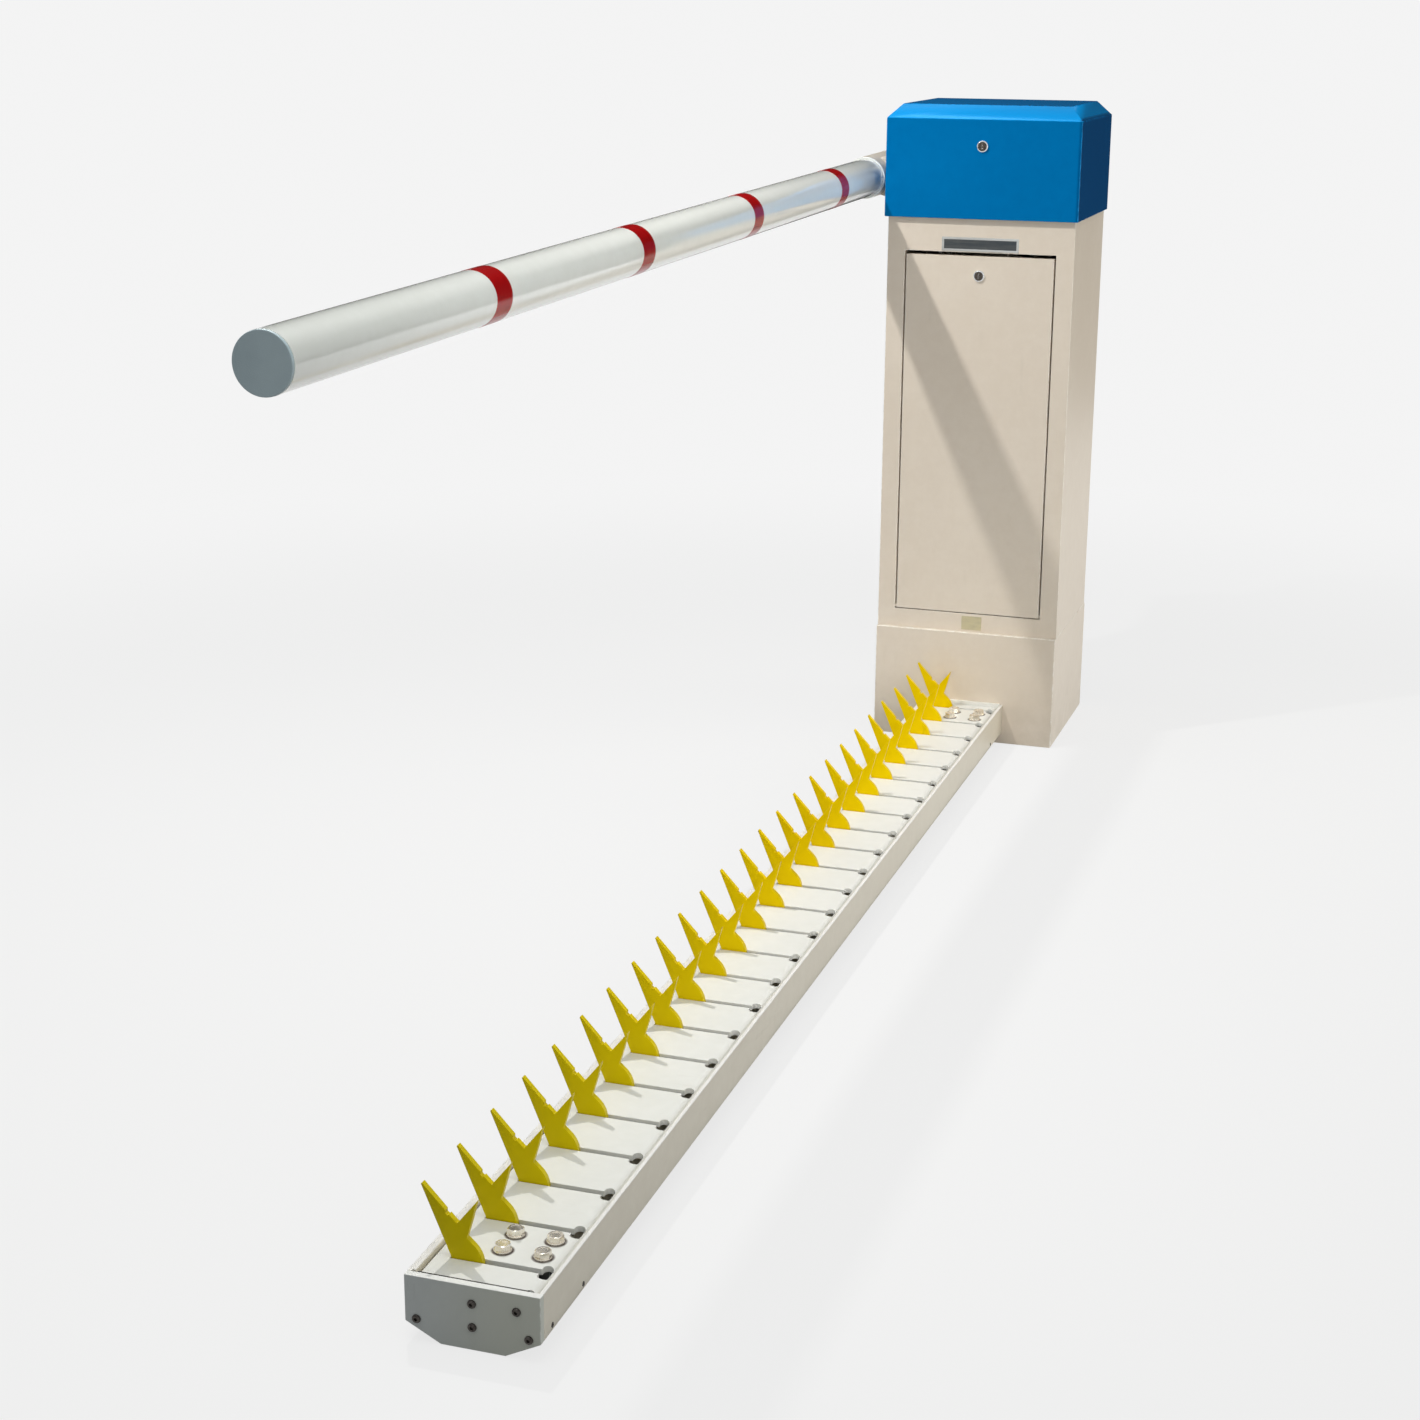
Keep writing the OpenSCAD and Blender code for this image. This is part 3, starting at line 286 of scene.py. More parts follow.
whitePaint = powderCoat("whitePaint", {
    "light": rgb(238, 238, 234), "dark": rgb(232, 232, 227), "marksTone": rgb(208, 205, 197), "marks": 0.45,
    "marksStretch": (1, 0.3, 1), "peel": 620.0, "bump": 0.05, "rough": 0.4, "gloss": 0.4, "rings": boltRings,
    "edge": 0.35, "edgeTone": rgb(250, 250, 247)})
# channel paint: the near-white band along the wall tops above z 0.0795 is a painted highlight
beigePaint = powderCoat("beigePaint", {
    "light": rgb(228, 221, 204), "dark": rgb(221, 213, 195), "marksTone": rgb(196, 188, 168), "marks": 0.5,
    "marksStretch": (0.25, 1, 1), "peel": 620.0, "bump": 0.05, "rough": 0.38, "gloss": 0.4,
    "dust": 0.45, "dustHeight": 0.05, "dustTone": rgb(178, 170, 150), "edge": 0.4, "edgeTone": rgb(240, 236, 226),
    "sweeps": [{"axis": "Z", "from": 0.0795, "to": 0.0812, "amount": 0.9, "tone": rgb(242, 240, 238)}]})
# spike paint: the duller, more olive tone towards the near end of the row (x 1.1 to 2.5) is painted shade
spikeYellow = powderCoat("spikeYellow", {
    "light": rgb(238, 204, 0), "dark": rgb(228, 192, 0), "marksTone": rgb(184, 152, 6), "marks": 0.5,
    "marksScale": 60.0, "peel": 500.0, "bump": 0.08, "rough": 0.38, "gloss": 0.4,
    "glossTint": (1.0, 0.85, 0.05, 1), "edge": 0.8, "edgeTone": rgb(250, 228, 40),
    "sweeps": [{"axis": "X", "from": 1.1, "to": 2.5, "amount": 1.0, "tone": rgb(212, 192, 8)}]})
boomWhite = powderCoat("boomWhite", {
    "light": rgb(242, 244, 240), "dark": rgb(237, 239, 234), "marksTone": rgb(218, 219, 211), "marks": 0.35,
    "marksStretch": (0.08, 1, 1), "peel": 90.0, "bump": 0.03, "rough": 0.14, "coat": 0.6})
redFilm = powderCoat("redFilm", {
    "light": rgb(162, 7, 9), "dark": rgb(148, 4, 7), "marksTone": rgb(118, 5, 7), "marks": 0.4,
    "marksStretch": (0.3, 1, 1), "peel": 300.0, "bump": 0.05, "rough": 0.2, "gloss": 0.45,
    "glossTint": (1.0, 0.25, 0.2, 1)})
machinePaint = powderCoat("machinePaint", {
    "light": rgb(98, 112, 124), "dark": rgb(84, 97, 108), "marksTone": rgb(60, 66, 70), "marks": 0.5,
    "peel": 260.0, "bump": 0.15, "rough": 0.45, "edge": 0.6, "edgeTone": rgb(150, 156, 160)})
castGrey = powderCoat("castGrey", {
    "light": rgb(112, 120, 126), "dark": rgb(96, 104, 110), "marksTone": rgb(70, 72, 72), "marks": 0.5,
    "peel": 180.0, "bump": 0.45, "rough": 0.52, "edge": 0.6, "edgeTone": rgb(160, 164, 166)})
# end plate paint: the shift from bluish at the left to warmer at the right is painted shading, the near-white band
# along the top is a painted highlight, and the light rounded edges are partly a painted highlight
endGrey = powderCoat("endGrey", {
    "light": rgb(203, 208, 208), "dark": rgb(194, 199, 200), "marksTone": rgb(168, 172, 170), "marks": 0.5,
    "peel": 500.0, "bump": 0.05, "rough": 0.42, "gloss": 0.4, "edge": 0.8, "edgeTone": rgb(250, 250, 247),
    "sweeps": [{"axis": "Y", "from": -0.09, "to": 0.06, "amount": 0.8, "tone": rgb(205, 207, 194)},
               {"axis": "Z", "from": 0.0803, "to": 0.0812, "amount": 0.9, "tone": rgb(244, 244, 241)}]})
zincSteel = steelFinish("zincSteel", {
    "light": rgb(246, 240, 228), "dark": rgb(232, 224, 210), "stainTone": rgb(150, 120, 86), "stain": 0.25,
    "stainScale": 60.0, "grain": 90.0, "bump": 0.02, "metal": 0.8, "rough": 0.22})
rawSteel = steelFinish("rawSteel", {
    "light": rgb(172, 174, 174), "dark": rgb(140, 142, 143), "stainTone": rgb(96, 88, 78), "stain": 0.5,
    "stainScale": 12.0, "grain": 60.0, "grainStretch": (0.2, 1, 1), "bump": 0.1, "metal": 0.85, "rough": 0.38})
darkScrew = steelFinish("darkScrew", {
    "light": rgb(84, 80, 76), "dark": rgb(54, 50, 47), "stainTone": rgb(40, 32, 28), "stain": 0.6,
    "stainScale": 200.0, "grain": 300.0, "bump": 0.08, "metal": 0.85, "rough": 0.36})
springSteel = steelFinish("springSteel", {
    "light": rgb(92, 94, 96), "dark": rgb(66, 68, 70), "stainTone": rgb(48, 44, 40), "stain": 0.6,
    "stainScale": 40.0, "grain": 80.0, "bump": 0.06, "metal": 0.85, "rough": 0.34})
chromeFinish = steelFinish("chromeFinish", {
    "light": rgb(230, 231, 232), "dark": rgb(222, 223, 225), "stainTone": rgb(190, 188, 184), "stain": 0.25,
    "stainScale": 260.0, "grain": 400.0, "bump": 0.02, "metal": 1.0, "rough": 0.1})
lockCore = steelFinish("lockCore", {
    "light": rgb(96, 90, 84), "dark": rgb(66, 60, 56), "stainTone": rgb(36, 30, 26), "stain": 0.5,
    "stainScale": 220.0, "grain": 320.0, "bump": 0.05, "metal": 0.9, "rough": 0.22})
plateSet = {
    "halfY": 0.0765, "halfZ": 0.0135, "midZ": 1.0085, "rim": 0.0042, "soft": 0.0004, "lowSpan": (0.4, 0.5),
    "field": rgb(44, 52, 58), "silver": rgb(188, 190, 188), "brass": rgb(206, 198, 166),
    "stainTone": rgb(120, 118, 110), "lines": (160.0, 3.0, 0.6, (1, 0.06, 1)), "lineSpan": (0.3, 0.8),
    "lineShare": 0.25,
    "stain": (30.0, 5.0, 0.65), "stainSpan": (0.45, 0.75), "stainShare": 0.12, "fieldDepth": 0.8, "bump": 0.12,
    "bumpDepth": 0.0003, "metal": 0.75, "fieldMetal": 0.6, "rough": 0.34, "stainDull": 0.2, "fieldDull": 0.1}


def blankPlate(name, s):    # upper plate: dark field in a bright rim, lower plate: warm and plain
    mat, place = startMaterial(name)
    lines = place.noise(*s["lines"])
    stain = place.noise(*s["stain"]).clamped(*s["stainSpan"])
    endY, endZ = s["halfY"] - s["rim"], s["halfZ"] - s["rim"]
    inY = 1 - abs(place.axis("Y")).clamped(endY - s["soft"], endY)
    inZ = 1 - abs(place.axis("Z") - s["midZ"]).clamped(endZ - s["soft"], endZ)
    field = inY * inZ
    low = 1 - place.axis("Z").clamped(*s["lowSpan"])
    tone = low.mixed(field.mixed(s["silver"], s["field"]), s["brass"])
    aged = lines.clamped(*s["lineSpan"]) * s["lineShare"] + stain * s["stainShare"]
    tone = aged.mixed(tone, s["stainTone"])
    height = lines - field * s["fieldDepth"]
    return plug(mat, {
        "Base Color": tone, "Metallic": s["metal"] - field * s["fieldMetal"],
        "Roughness": s["rough"] + stain * s["stainDull"] + field * s["fieldDull"],
        "Normal": height.bump(s["bump"], s["bumpDepth"])})


plainPlate = blankPlate("plainPlate", plateSet)
slateCap = mouldedPlastic("slateCap", {
    "light": rgb(188, 206, 213), "dark": rgb(176, 194, 202), "grain": 900.0, "bump": 0.3, "rough": 0.5})
# dark finish for the strip in the gap at the outer cover end, which stands in for the gap's shade
blackRubber = mouldedPlastic("blackRubber", {
    "light": rgb(46, 42, 40), "dark": rgb(34, 31, 30), "grain": 800.0, "bump": 0.2, "rough": 0.6})
greyPlastic = mouldedPlastic("greyPlastic", {
    "light": rgb(204, 208, 206), "dark": rgb(194, 198, 196), "grain": 700.0, "bump": 0.25, "rough": 0.48})

finishOfSlot = {
    "cream_paint": creamPaint, "blue_paint": bluePaint, "zinc_steel": zincSteel, "grey_cast": castGrey,
    "motor_paint": machinePaint, "grey_plastic": greyPlastic, "plain_plate": plainPlate, "beige_paint": beigePaint,
    "white_paint": whitePaint, "raw_steel": rawSteel, "end_steel": endGrey, "dark_screw": darkScrew,
    "boom_white": boomWhite, "slate_plastic": slateCap, "red_film": redFilm, "spring_steel": springSteel,
    "chrome": chromeFinish, "spike_yellow": spikeYellow}
for node, slot in slotOf.items():
    nodes[node].data.materials.clear()
    nodes[node].data.materials.append(finishOfSlot[slot])
print("stage: finishes on all nodes")


# mesh helpers
def placeMesh(name, mesh):
    obj = bpy.data.objects.new(name, mesh)
    scene.collection.objects.link(obj)
    return obj


def frozenMesh(obj, name):    # what the modifiers give, as one plain mesh
    bpy.context.view_layer.update()
    graph = bpy.context.evaluated_depsgraph_get()
    done = obj.evaluated_get(graph)
    mesh = bpy.data.meshes.new_from_object(done, preserve_all_data_layers=True, depsgraph=graph)
    mesh.name = name
    obj.modifiers.clear()
    obj.data = mesh
    return mesh


def softShade(mesh, angle):
    mesh.polygons.foreach_set("use_smooth", [True] * len(mesh.polygons))
    mesh.set_sharp_from_angle(angle=math.radians(angle))


def stacked(bm, rings, loop=False):    # quads between rings of equal count, capped unless they loop
    made = [[bm.verts.new(p) for p in ring] for ring in rings]
    pairs = list(zip(made, made[1:])) + ([(made[-1], made[0])] if loop else [])
    for low, high in pairs:
        for i in range(len(low)):
            j = (i + 1) % len(low)
            bm.faces.new((low[i], low[j], high[j], high[i]))
    if not loop:
        bm.faces.new(list(reversed(made[0])))
        bm.faces.new(made[-1])


def circle(r, z, count=36):
    turns = [2 * math.pi * i / count for i in range(count)]
    return [(r * math.cos(a), r * math.sin(a), z) for a in turns]


def hexagon(corner, z, each=6):    # points along the six sides
    turns = [math.radians(60 * k) for k in range(7)]
    corners = [Vector((corner * math.cos(a), corner * math.sin(a), z)) for a in turns]
    return [tuple(a.lerp(b, i / each)) for a, b in zip(corners, corners[1:]) for i in range(each)]


def formMesh(name, bm, angle=30):
    bmesh.ops.recalc_face_normals(bm, faces=bm.faces)
    mesh = bpy.data.meshes.new(name)
    bm.to_mesh(mesh)
    bm.free()
    softShade(mesh, angle)
    return mesh


# eased copies: the same solids with their edges rounded as bent sheet and castings are
easedWidth = {    # metres
    "cabinet_lid": 0.0018, "cabinet_body": 0.0012, "cabinet_door": 0.0014, "plinth": 0.0016,
    "strip_channel": 0.0008, "strip_cover": 0.0006, "end_plate": 0.0009, "joint_plate": 0.0009,
    "cover_blocks": 0.0006, "blank_plates": 0.0006, "boom_holder": 0.0008, "holder_bolts": 0.0005,
    "boom_tube": 0.0005, "boom_bands": 0.00012, "boom_cap": 0.0012, "gearbox": 0.001, "motor": 0.0008,
    "control_box": 0.0014, "chassis": 0.0008, "pillow_blocks": 0.001, "boom_lever": 0.001, "boom_shaft": 0.0006,
    "drive_crank": 0.001, "drive_rod": 0.0006, "torque_shaft": 0.0006, "base_gearbox": 0.001,
    "lid_lock": 0.0004, "door_lock": 0.0004, "end_frame": 0.0005}
easeSet = {"steps": 3, "fromAngle": 32, "shadeAngle": 38, "flatAngle": 0.4, "weld": 1e-6, "onPlane": 2e-5}
seamMerge = {"strip_channel": 8e-5}    # welded seams close up
outsideOnly = ("cabinet_lid", "cabinet_body", "cabinet_door", "plinth")    # sheet: inner edges stay sharp
boomAxis = {"y": -0.252, "z": 1.127, "drop": math.tan(math.radians(0.7)), "reach": 0.0425, "rimX": 0.0965}
lockFace = {"facing": 0.9, "fromX": 0.16}


def onSleeveRim(mid, facing):
    z = boomAxis["z"] - boomAxis["drop"] * mid.x
    return mid.x > boomAxis["rimX"] and math.hypot(mid.y - boomAxis["y"], mid.z - z) < boomAxis["reach"]


def onLockFace(mid, facing):
    return facing.x > lockFace["facing"] and mid.x > lockFace["fromX"]


secondFinish = {"boom_holder": (boomWhite, onSleeveRim), "lid_lock": (lockCore, onLockFace),
                "door_lock": (lockCore, onLockFace)}


def isSharp(edge):
    return edge.calc_face_angle(0) > math.radians(easeSet["fromAngle"])


def weighOutside(bm, low, high):    # edges that lie on the outside of the solid's box
    def onPlane(edge, k, level):
        return all(abs(v.co[k] - level) < easeSet["onPlane"] for v in edge.verts)
    layer = bm.edges.layers.float.new("bevel_weight_edge")
    for e in bm.edges:
        planes = sum(onPlane(e, k, side[k]) for k in range(3) for side in (low, high))
        outside = planes > 1 or (planes == 1 and not onPlane(e, 2, low[2]))
        e[layer] = 1.0 if outside and isSharp(e) else 0.0


def easedCopy(node, width):
    low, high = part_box(node)
    bm = bmesh.new()
    bm.from_mesh(nodes[node].data)
    bmesh.ops.remove_doubles(bm, verts=bm.verts, dist=seamMerge.get(node, easeSet["weld"]))
    bmesh.ops.dissolve_limit(bm, angle_limit=math.radians(easeSet["flatAngle"]), verts=bm.verts, edges=bm.edges,
                             delimit={"NORMAL"})
    if node in outsideOnly:
        weighOutside(bm, low, high)
    words = node.split("_")
    name = words[0] + "".join(w.capitalize() for w in words[1:]) + "Eased"
    mesh = bpy.data.meshes.new(name)
    bm.to_mesh(mesh)
    bm.free()
    finish = finishOfSlot[slotOf[node]]
    mesh.materials.append(finish)
    mesh.materials.append(finish)    # second place marks the rounded faces
    obj = placeMesh(name, mesh)
    ease = obj.modifiers.new("ease", "BEVEL")
    ease.width = width
    ease.segments = easeSet["steps"]
    ease.limit_method = "WEIGHT" if node in outsideOnly else "ANGLE"
    ease.angle_limit = math.radians(easeSet["fromAngle"])
    ease.use_clamp_overlap = False
    ease.material = 1
    mesh = frozenMesh(obj, name)
    for v in mesh.vertices:    # where thin sheet meets, a rounded corner may not pass the solid's own box
        v.co = [min(max(c, a), b) for c, a, b in zip(v.co, low, high)]
    edge = mesh.attributes.new("edge", "FLOAT", "FACE")
    edge.data.foreach_set("value", [float(p.material_index) for p in mesh.polygons])
    mesh.polygons.foreach_set("material_index", [0] * len(mesh.polygons))
    mesh.materials.pop(index=1)
    if node in secondFinish:
        other, belongs = secondFinish[node]
        mesh.materials.append(other)
        for p in mesh.polygons:
            p.material_index = 1 if belongs(p.center, p.normal) else 0
    softShade(mesh, easeSet["shadeAngle"])
    obj.modifiers.new("even", "WEIGHTED_NORMAL").keep_sharp = True
    frozenMesh(obj, name)
    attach(obj, bodyOf[node])
    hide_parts(node)


for node, width in easedWidth.items():
    easedCopy(node, width)
print("stage: eased copies,", len(easedWidth))


# strips along the cover: the left wall's folded hem, and at the outer end a dark strip, drawn as a rubber seal,
# that fills the gap as painted shade
hemSet = {"from": 0.1805, "to": 2.6575, "side": (-0.0800, -0.0744), "height": (0.0695, 0.0813),
          "round": 0.0018, "steps": 6}
gapShadeSet = {"from": -0.0715, "to": 0.0655, "side": (2.6584, 2.6606), "height": (0.0655, 0.0811),
           "round": 0.0006, "steps": 5}


def stripSection(s):    # upright section with a rounded top
    low, high = s["side"]
    bottom, top = s["height"]
    r = s["round"]
    turns = [math.radians(90 * k / s["steps"]) for k in range(s["steps"] + 1)]
    near = [(high - r + r * math.cos(a), top - r + r * math.sin(a)) for a in turns]
    away = [(low + r - r * math.sin(a), top - r + r * math.cos(a)) for a in turns]
    return [(low, bottom), (high, bottom)] + near + away


def makeStrip(name, s, along, finish):
    bm = bmesh.new()
    ends = (s["from"], s["to"])
    stacked(bm, [[(e, a, z) if along == "X" else (a, e, z) for a, z in stripSection(s)] for e in ends])
    mesh = formMesh(name, bm)
    mesh.materials.append(finish)
    obj = placeMesh(name, mesh)
    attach(obj, "base")
    return obj


makeStrip("railHem", hemSet, "X", beigePaint)
# painted shade: the dark strip in the gap between cover and end plate
makeStrip("coverSeal", gapShadeSet, "Y", blackRubber)
print("stage: hem and seal")


# balance spring: a hook round each pin and the coil between them
springSet = {
    "x": -0.05657, "y": 0.048, "foot": 0.612, "top": 1.18357, "wire": 0.003, "coil": 0.015, "clear": 0.026,
    "hook": (0.0096, 0.0112),    # half width and half height, which clears the pin when the spring is short
    "hookSpan": (-200, 90), "hookStep": 10,    # degrees round the lower pin, mirrored at the upper one
    "lead": [(-0.007, 0.012), (-0.013, 0.018)],    # from hook to coil: sideways, and away from the pin
    "turns": 30, "perTurn": 20, "sides": 10, "shadeAngle": 50, "keep": 0.802}


def springPath(s):
    def ring(first, last, z):
        turns = [math.radians(angle) for angle in range(first, last + 1, s["hookStep"])]
        wide, tall = s["hook"]
        return [(wide * math.cos(a), 0.0, z + tall * math.sin(a)) for a in turns]
    first, last = s["hookSpan"]
    steps = s["turns"] * s["perTurn"]
    z0, z1 = s["foot"] + s["clear"], s["top"] - s["clear"]
    turned = [2 * math.pi * k / s["perTurn"] for k in range(steps + 1)]
    coil = [(-s["coil"] * math.cos(a), -s["coil"] * math.sin(a), z0 + (z1 - z0) * k / steps)
            for k, a in enumerate(turned)]
    lead = [(x, 0.0, s["foot"] + z) for x, z in s["lead"]]
    tail = [(x, 0.0, s["top"] - z) for x, z in reversed(s["lead"])]
    route = ring(first, last, s["foot"]) + lead + coil + tail + ring(-last, -first, s["top"])
    return [Vector((s["x"] + x, s["y"] + y, z)) for x, y, z in route]


def makeSpring(s):
    route = springPath(s)
    last = len(route) - 1
    turns = [2 * math.pi * k / s["sides"] for k in range(s["sides"])]
    side = None
    rings = []
    for i, spot in enumerate(route):
        along = (route[min(i + 1, last)] - route[max(i - 1, 0)]).normalized()
        side = along.orthogonal() if side is None else side - along * side.dot(along)
        side.normalize()
        across = along.cross(side)
        rings.append([spot + side * (s["wire"] * math.cos(a)) + across * (s["wire"] * math.sin(a))
                      for a in turns])
    bm = bmesh.new()
    stacked(bm, rings)
    mesh = formMesh("balanceSpring", bm, s["shadeAngle"])
    mesh.materials.append(springSteel)
    obj = placeMesh("balanceSpring", mesh)
    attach(obj, "base")
    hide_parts("balance_spring")
    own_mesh(obj)


makeSpring(springSet)
print("stage: balance spring")


# Geometry Nodes: a tree with named inputs
class Grower:
    def __init__(self, name, inputs):
        self.tree = bpy.data.node_groups.new(name, "GeometryNodeTree")
        self.ids = {}
        face = self.tree.interface
        face.new_socket("Geometry", in_out="INPUT", socket_type="NodeSocketGeometry")
        for label, kind in inputs.items():
            self.ids[label] = face.new_socket(label, in_out="INPUT", socket_type=kind).identifier
        face.new_socket("Geometry", in_out="OUTPUT", socket_type="NodeSocketGeometry")
        self.given = self.tree.nodes.new("NodeGroupInput")

    def add(self, kind, settings=None, **links):
        made = self.tree.nodes.new(kind)
        for key, value in (settings or {}).items():
            setattr(made, key, value)
        for key, value in links.items():
            target = made.inputs[key.replace("_", " ")]
            if isinstance(value, bpy.types.NodeSocket):
                self.tree.links.new(value, target)
            else:
                target.default_value = value
        return made

    def read(self, label, kind):    # a value stored on the points
        return self.add("GeometryNodeInputNamedAttribute", {"data_type": kind}, Name=label).outputs[0]

    def close(self, geometry):    # realised, finished, out
        real = self.add("GeometryNodeRealizeInstances", Geometry=geometry)
        finish = self.given.outputs["Finish"]
        dressed = self.add("GeometryNodeSetMaterial", Geometry=real.outputs[0], Material=finish)
        self.add("NodeGroupOutput", Geometry=dressed.outputs[0])

    def grow(self, obj, values, name):
        mod = obj.modifiers.new("grow", "NODES")
        mod.node_group = self.tree
        for label, value in values.items():
            mod[self.ids[label]] = value
        return frozenMesh(obj, name)


# spikes: one bevelled blade on its hub, repeated along the shaft
spikeSet = {    # outline in millimetres from the pivot, the rest in metres and degrees
    "count": 25, "pitch": 0.1, "first": 2.6085, "pivotY": -0.044, "pivotZ": 0.06105, "thick": 0.008,
    "hubR": 0.0125, "hubHalf": 0.012, "hubEase": 0.0006, "boreR": 0.0102,
    "round": 0.0007, "roundSteps": 2, "roundProfile": 0.6, "shadeAngle": 40,
    "footCentre": (-2.94, 10.9), "footR": 35.68, "footFrom": 55.2, "footTo": -35.9, "footSteps": 14,
    "blade": [(-43, 104.4), (-41.6, 105.7), (-40.6, 104.9), (-13, 75.6), (-13.2, 71.8), (-10.6, 69.3), (-8.6, 71),
              (0.2, 61.9), (1.6, 61.6), (26, 92.3), (20, 68.4), (13, 44.5), (17.6, 40.4)],
    "back": [(-9.4, -10), (-9.4, 0), (-6.6, 16.4)]}


def spikeForm(s):
    cy, cz = s["footCentre"]
    swept = s["footTo"] - s["footFrom"]
    turns = [math.radians(s["footFrom"] + swept * i / s["footSteps"]) for i in range(1, s["footSteps"] + 1)]
    foot = [(cy + s["footR"] * math.cos(a), cz + s["footR"] * math.sin(a)) for a in turns]
    outline = s["blade"] + foot + s["back"]
    bm = bmesh.new()
    face = bm.faces.new([bm.verts.new((-s["thick"] / 2, y / 1000, z / 1000)) for y, z in outline])
    pulled = bmesh.ops.extrude_face_region(bm, geom=[face])
    for v in (g for g in pulled["geom"] if isinstance(g, bmesh.types.BMVert)):
        v.co.x += s["thick"]
    bmesh.ops.recalc_face_normals(bm, faces=bm.faces)
    rims = [e for e in bm.edges if isSharp(e)]
    made = bmesh.ops.bevel(bm, geom=rims, offset=s["round"], segments=s["roundSteps"], affect="EDGES",
                           profile=s["roundProfile"])
    rounded = set(made["faces"])
    layer = bm.faces.layers.float.new("edge")
    for f in bm.faces:
        f[layer] = 1.0 if f in rounded else 0.0
    h, r, b, e = s["hubHalf"], s["hubR"], s["boreR"], s["hubEase"]
    hub = [(b, -h), (r - e, -h), (r, -h + e), (r, h - e), (r - e, h), (b, h)]
    stacked(bm, [[(z, x, y) for x, y, z in circle(*ring)] for ring in hub], loop=True)
    bmesh.ops.triangulate(bm, faces=[f for f in bm.faces if len(f.verts) > 4])
    return formMesh("spikeForm", bm, s["shadeAngle"])


def makeSpikes(s):
    grower = Grower("spikeRowTree", {"Count": "NodeSocketInt", "Pitch": "NodeSocketVector",
                                     "First": "NodeSocketVector", "Finish": "NodeSocketMaterial"})
    given = grower.given.outputs
    line = grower.add("GeometryNodeMeshLine", {"mode": "OFFSET"}, Count=given["Count"],
                      Start_Location=given["First"], Offset=given["Pitch"])
    put = grower.add("GeometryNodeInstanceOnPoints", None, Points=line.outputs[0], Instance=given["Geometry"])
    grower.close(put.outputs[0])
    obj = placeMesh("spikeRow", spikeForm(s))
    grower.grow(obj, {"Count": s["count"], "Pitch": (-s["pitch"], 0.0, 0.0),
                      "First": (s["first"], s["pivotY"], s["pivotZ"]), "Finish": spikeYellow}, "spikeRow")
    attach(obj, "spike_row")
    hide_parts(*["spike_%02d" % (i + 1) for i in range(s["count"])])


makeSpikes(spikeSet)
print("stage: spikes")


# fasteners: places in metres, heads drawn for a thread of radius 1 and scaled by its radius
boltSet = {
    "cover": [(x, y, 0.07745) for x in (2.539, 2.578, 0.239, 0.278) for y in (-0.0013, 0.049)],
    "body": [(x, y, 0.230) for x in (-0.120, 0.120) for y in (-0.169, 0.169)],
    "pillow": [(x, y, 1.095) for x in (-0.056, 0.056) for y in (-0.140, 0.116)],
    "coverR": 0.006, "innerR": 0.005, "coverShank": 4.0, "innerShank": 2.6,
    "washer": [(1.8, 0.0), (1.85, 0.05), (1.85, 0.307), (1.79, 0.367), (1.2, 0.367)],
    "seat": 0.367, "tall": 1.25, "corner": 1.73, "flatShare": 0.94, "slope": 0.55, "middle": 0.72, "dish": 0.68,
    "dishDepth": 0.05, "tipR": 0.9, "tipEase": 0.1, "shankSides": 24, "shadeAngle": 24}
screwSet = {
    "end": [(2.671, y, z) for y, z in ((0, 0.05905), (0.05458, 0.05905), (0, 0.0294), (-0.0691, 0.0274),
                                       (0.0691, 0.0264))],
    "joint": [(0.179, y, z) for y, z in ((-0.0156, 0.024), (0.0496, 0.032), (0.0166, 0.06145))],
    "side": [(x, y, 0.0289) for x in (2.636, 2.5395, 0.2775) for y in (-0.08358, 0.08358)],
    "endR": 0.003, "jointR": 0.004, "sideR": 0.003, "socketEase": 1.06, "brimDepth": 0.06,
    "button": {"outer": [(1.68, 0.0), (1.75, 0.06), (1.75, 0.5), (1.68, 0.68), (1.52, 0.86), (1.32, 1.0),
                         (1.1, 1.1)], "socket": 0.75, "floor": 0.3, "brim": 1.08},
    "flush": {"outer": [(1.0, -1.6), (1.0, 0.12), (0.92, 0.2)], "socket": 0.5, "floor": -0.5, "brim": 0.19}}
turnSet = {"step": 0.73, "sixth": 1.05}    # heads end up at any angle when they are tightened
upward, forward = (0, 0, 1), (1, 0, 0)


def boltForm(s, shank):    # washer and hexagon head above z 0
    bm = bmesh.new()
    top = s["seat"] + s["tall"]
    inner = s["flatShare"] * s["corner"] * math.cos(math.radians(30))
    sides = [(x, y, math.hypot(x, y)) for x, y, z in hexagon(s["corner"], 0.0)]
    stacked(bm, [circle(*ring) for ring in s["washer"]])
    rim = [(x, y, top - max(0.0, out - inner) * s["slope"]) for x, y, out in sides]
    shoulder = [(x * inner / out, y * inner / out, top) for x, y, out in sides]
    middle = [(x * s["middle"], y * s["middle"], top) for x, y, z in shoulder]
    dish = [(x * s["dish"], y * s["dish"], top - s["dishDepth"]) for x, y, z in shoulder]
    stacked(bm, [hexagon(s["corner"], s["seat"]), rim, shoulder, middle, dish])
    tip = [(s["tipR"], -shank), (1.0, -shank + s["tipEase"]), (1.0, s["tipEase"])]
    stacked(bm, [circle(*ring, s["shankSides"]) for ring in tip])
    return formMesh("boltForm", bm, s["shadeAngle"])


def screwForm(s, head):    # button head or flush set screw, both with a hexagon socket
    bm = bmesh.new()
    h = s[head]
    wide, brim = h["socket"], h["brim"]
    socket = [(wide * s["socketEase"], brim), (wide, brim - s["brimDepth"]), (wide, h["floor"])]
    stacked(bm, [circle(*ring) for ring in h["outer"]] + [hexagon(*ring) for ring in socket])
    return formMesh("screwForm", bm)


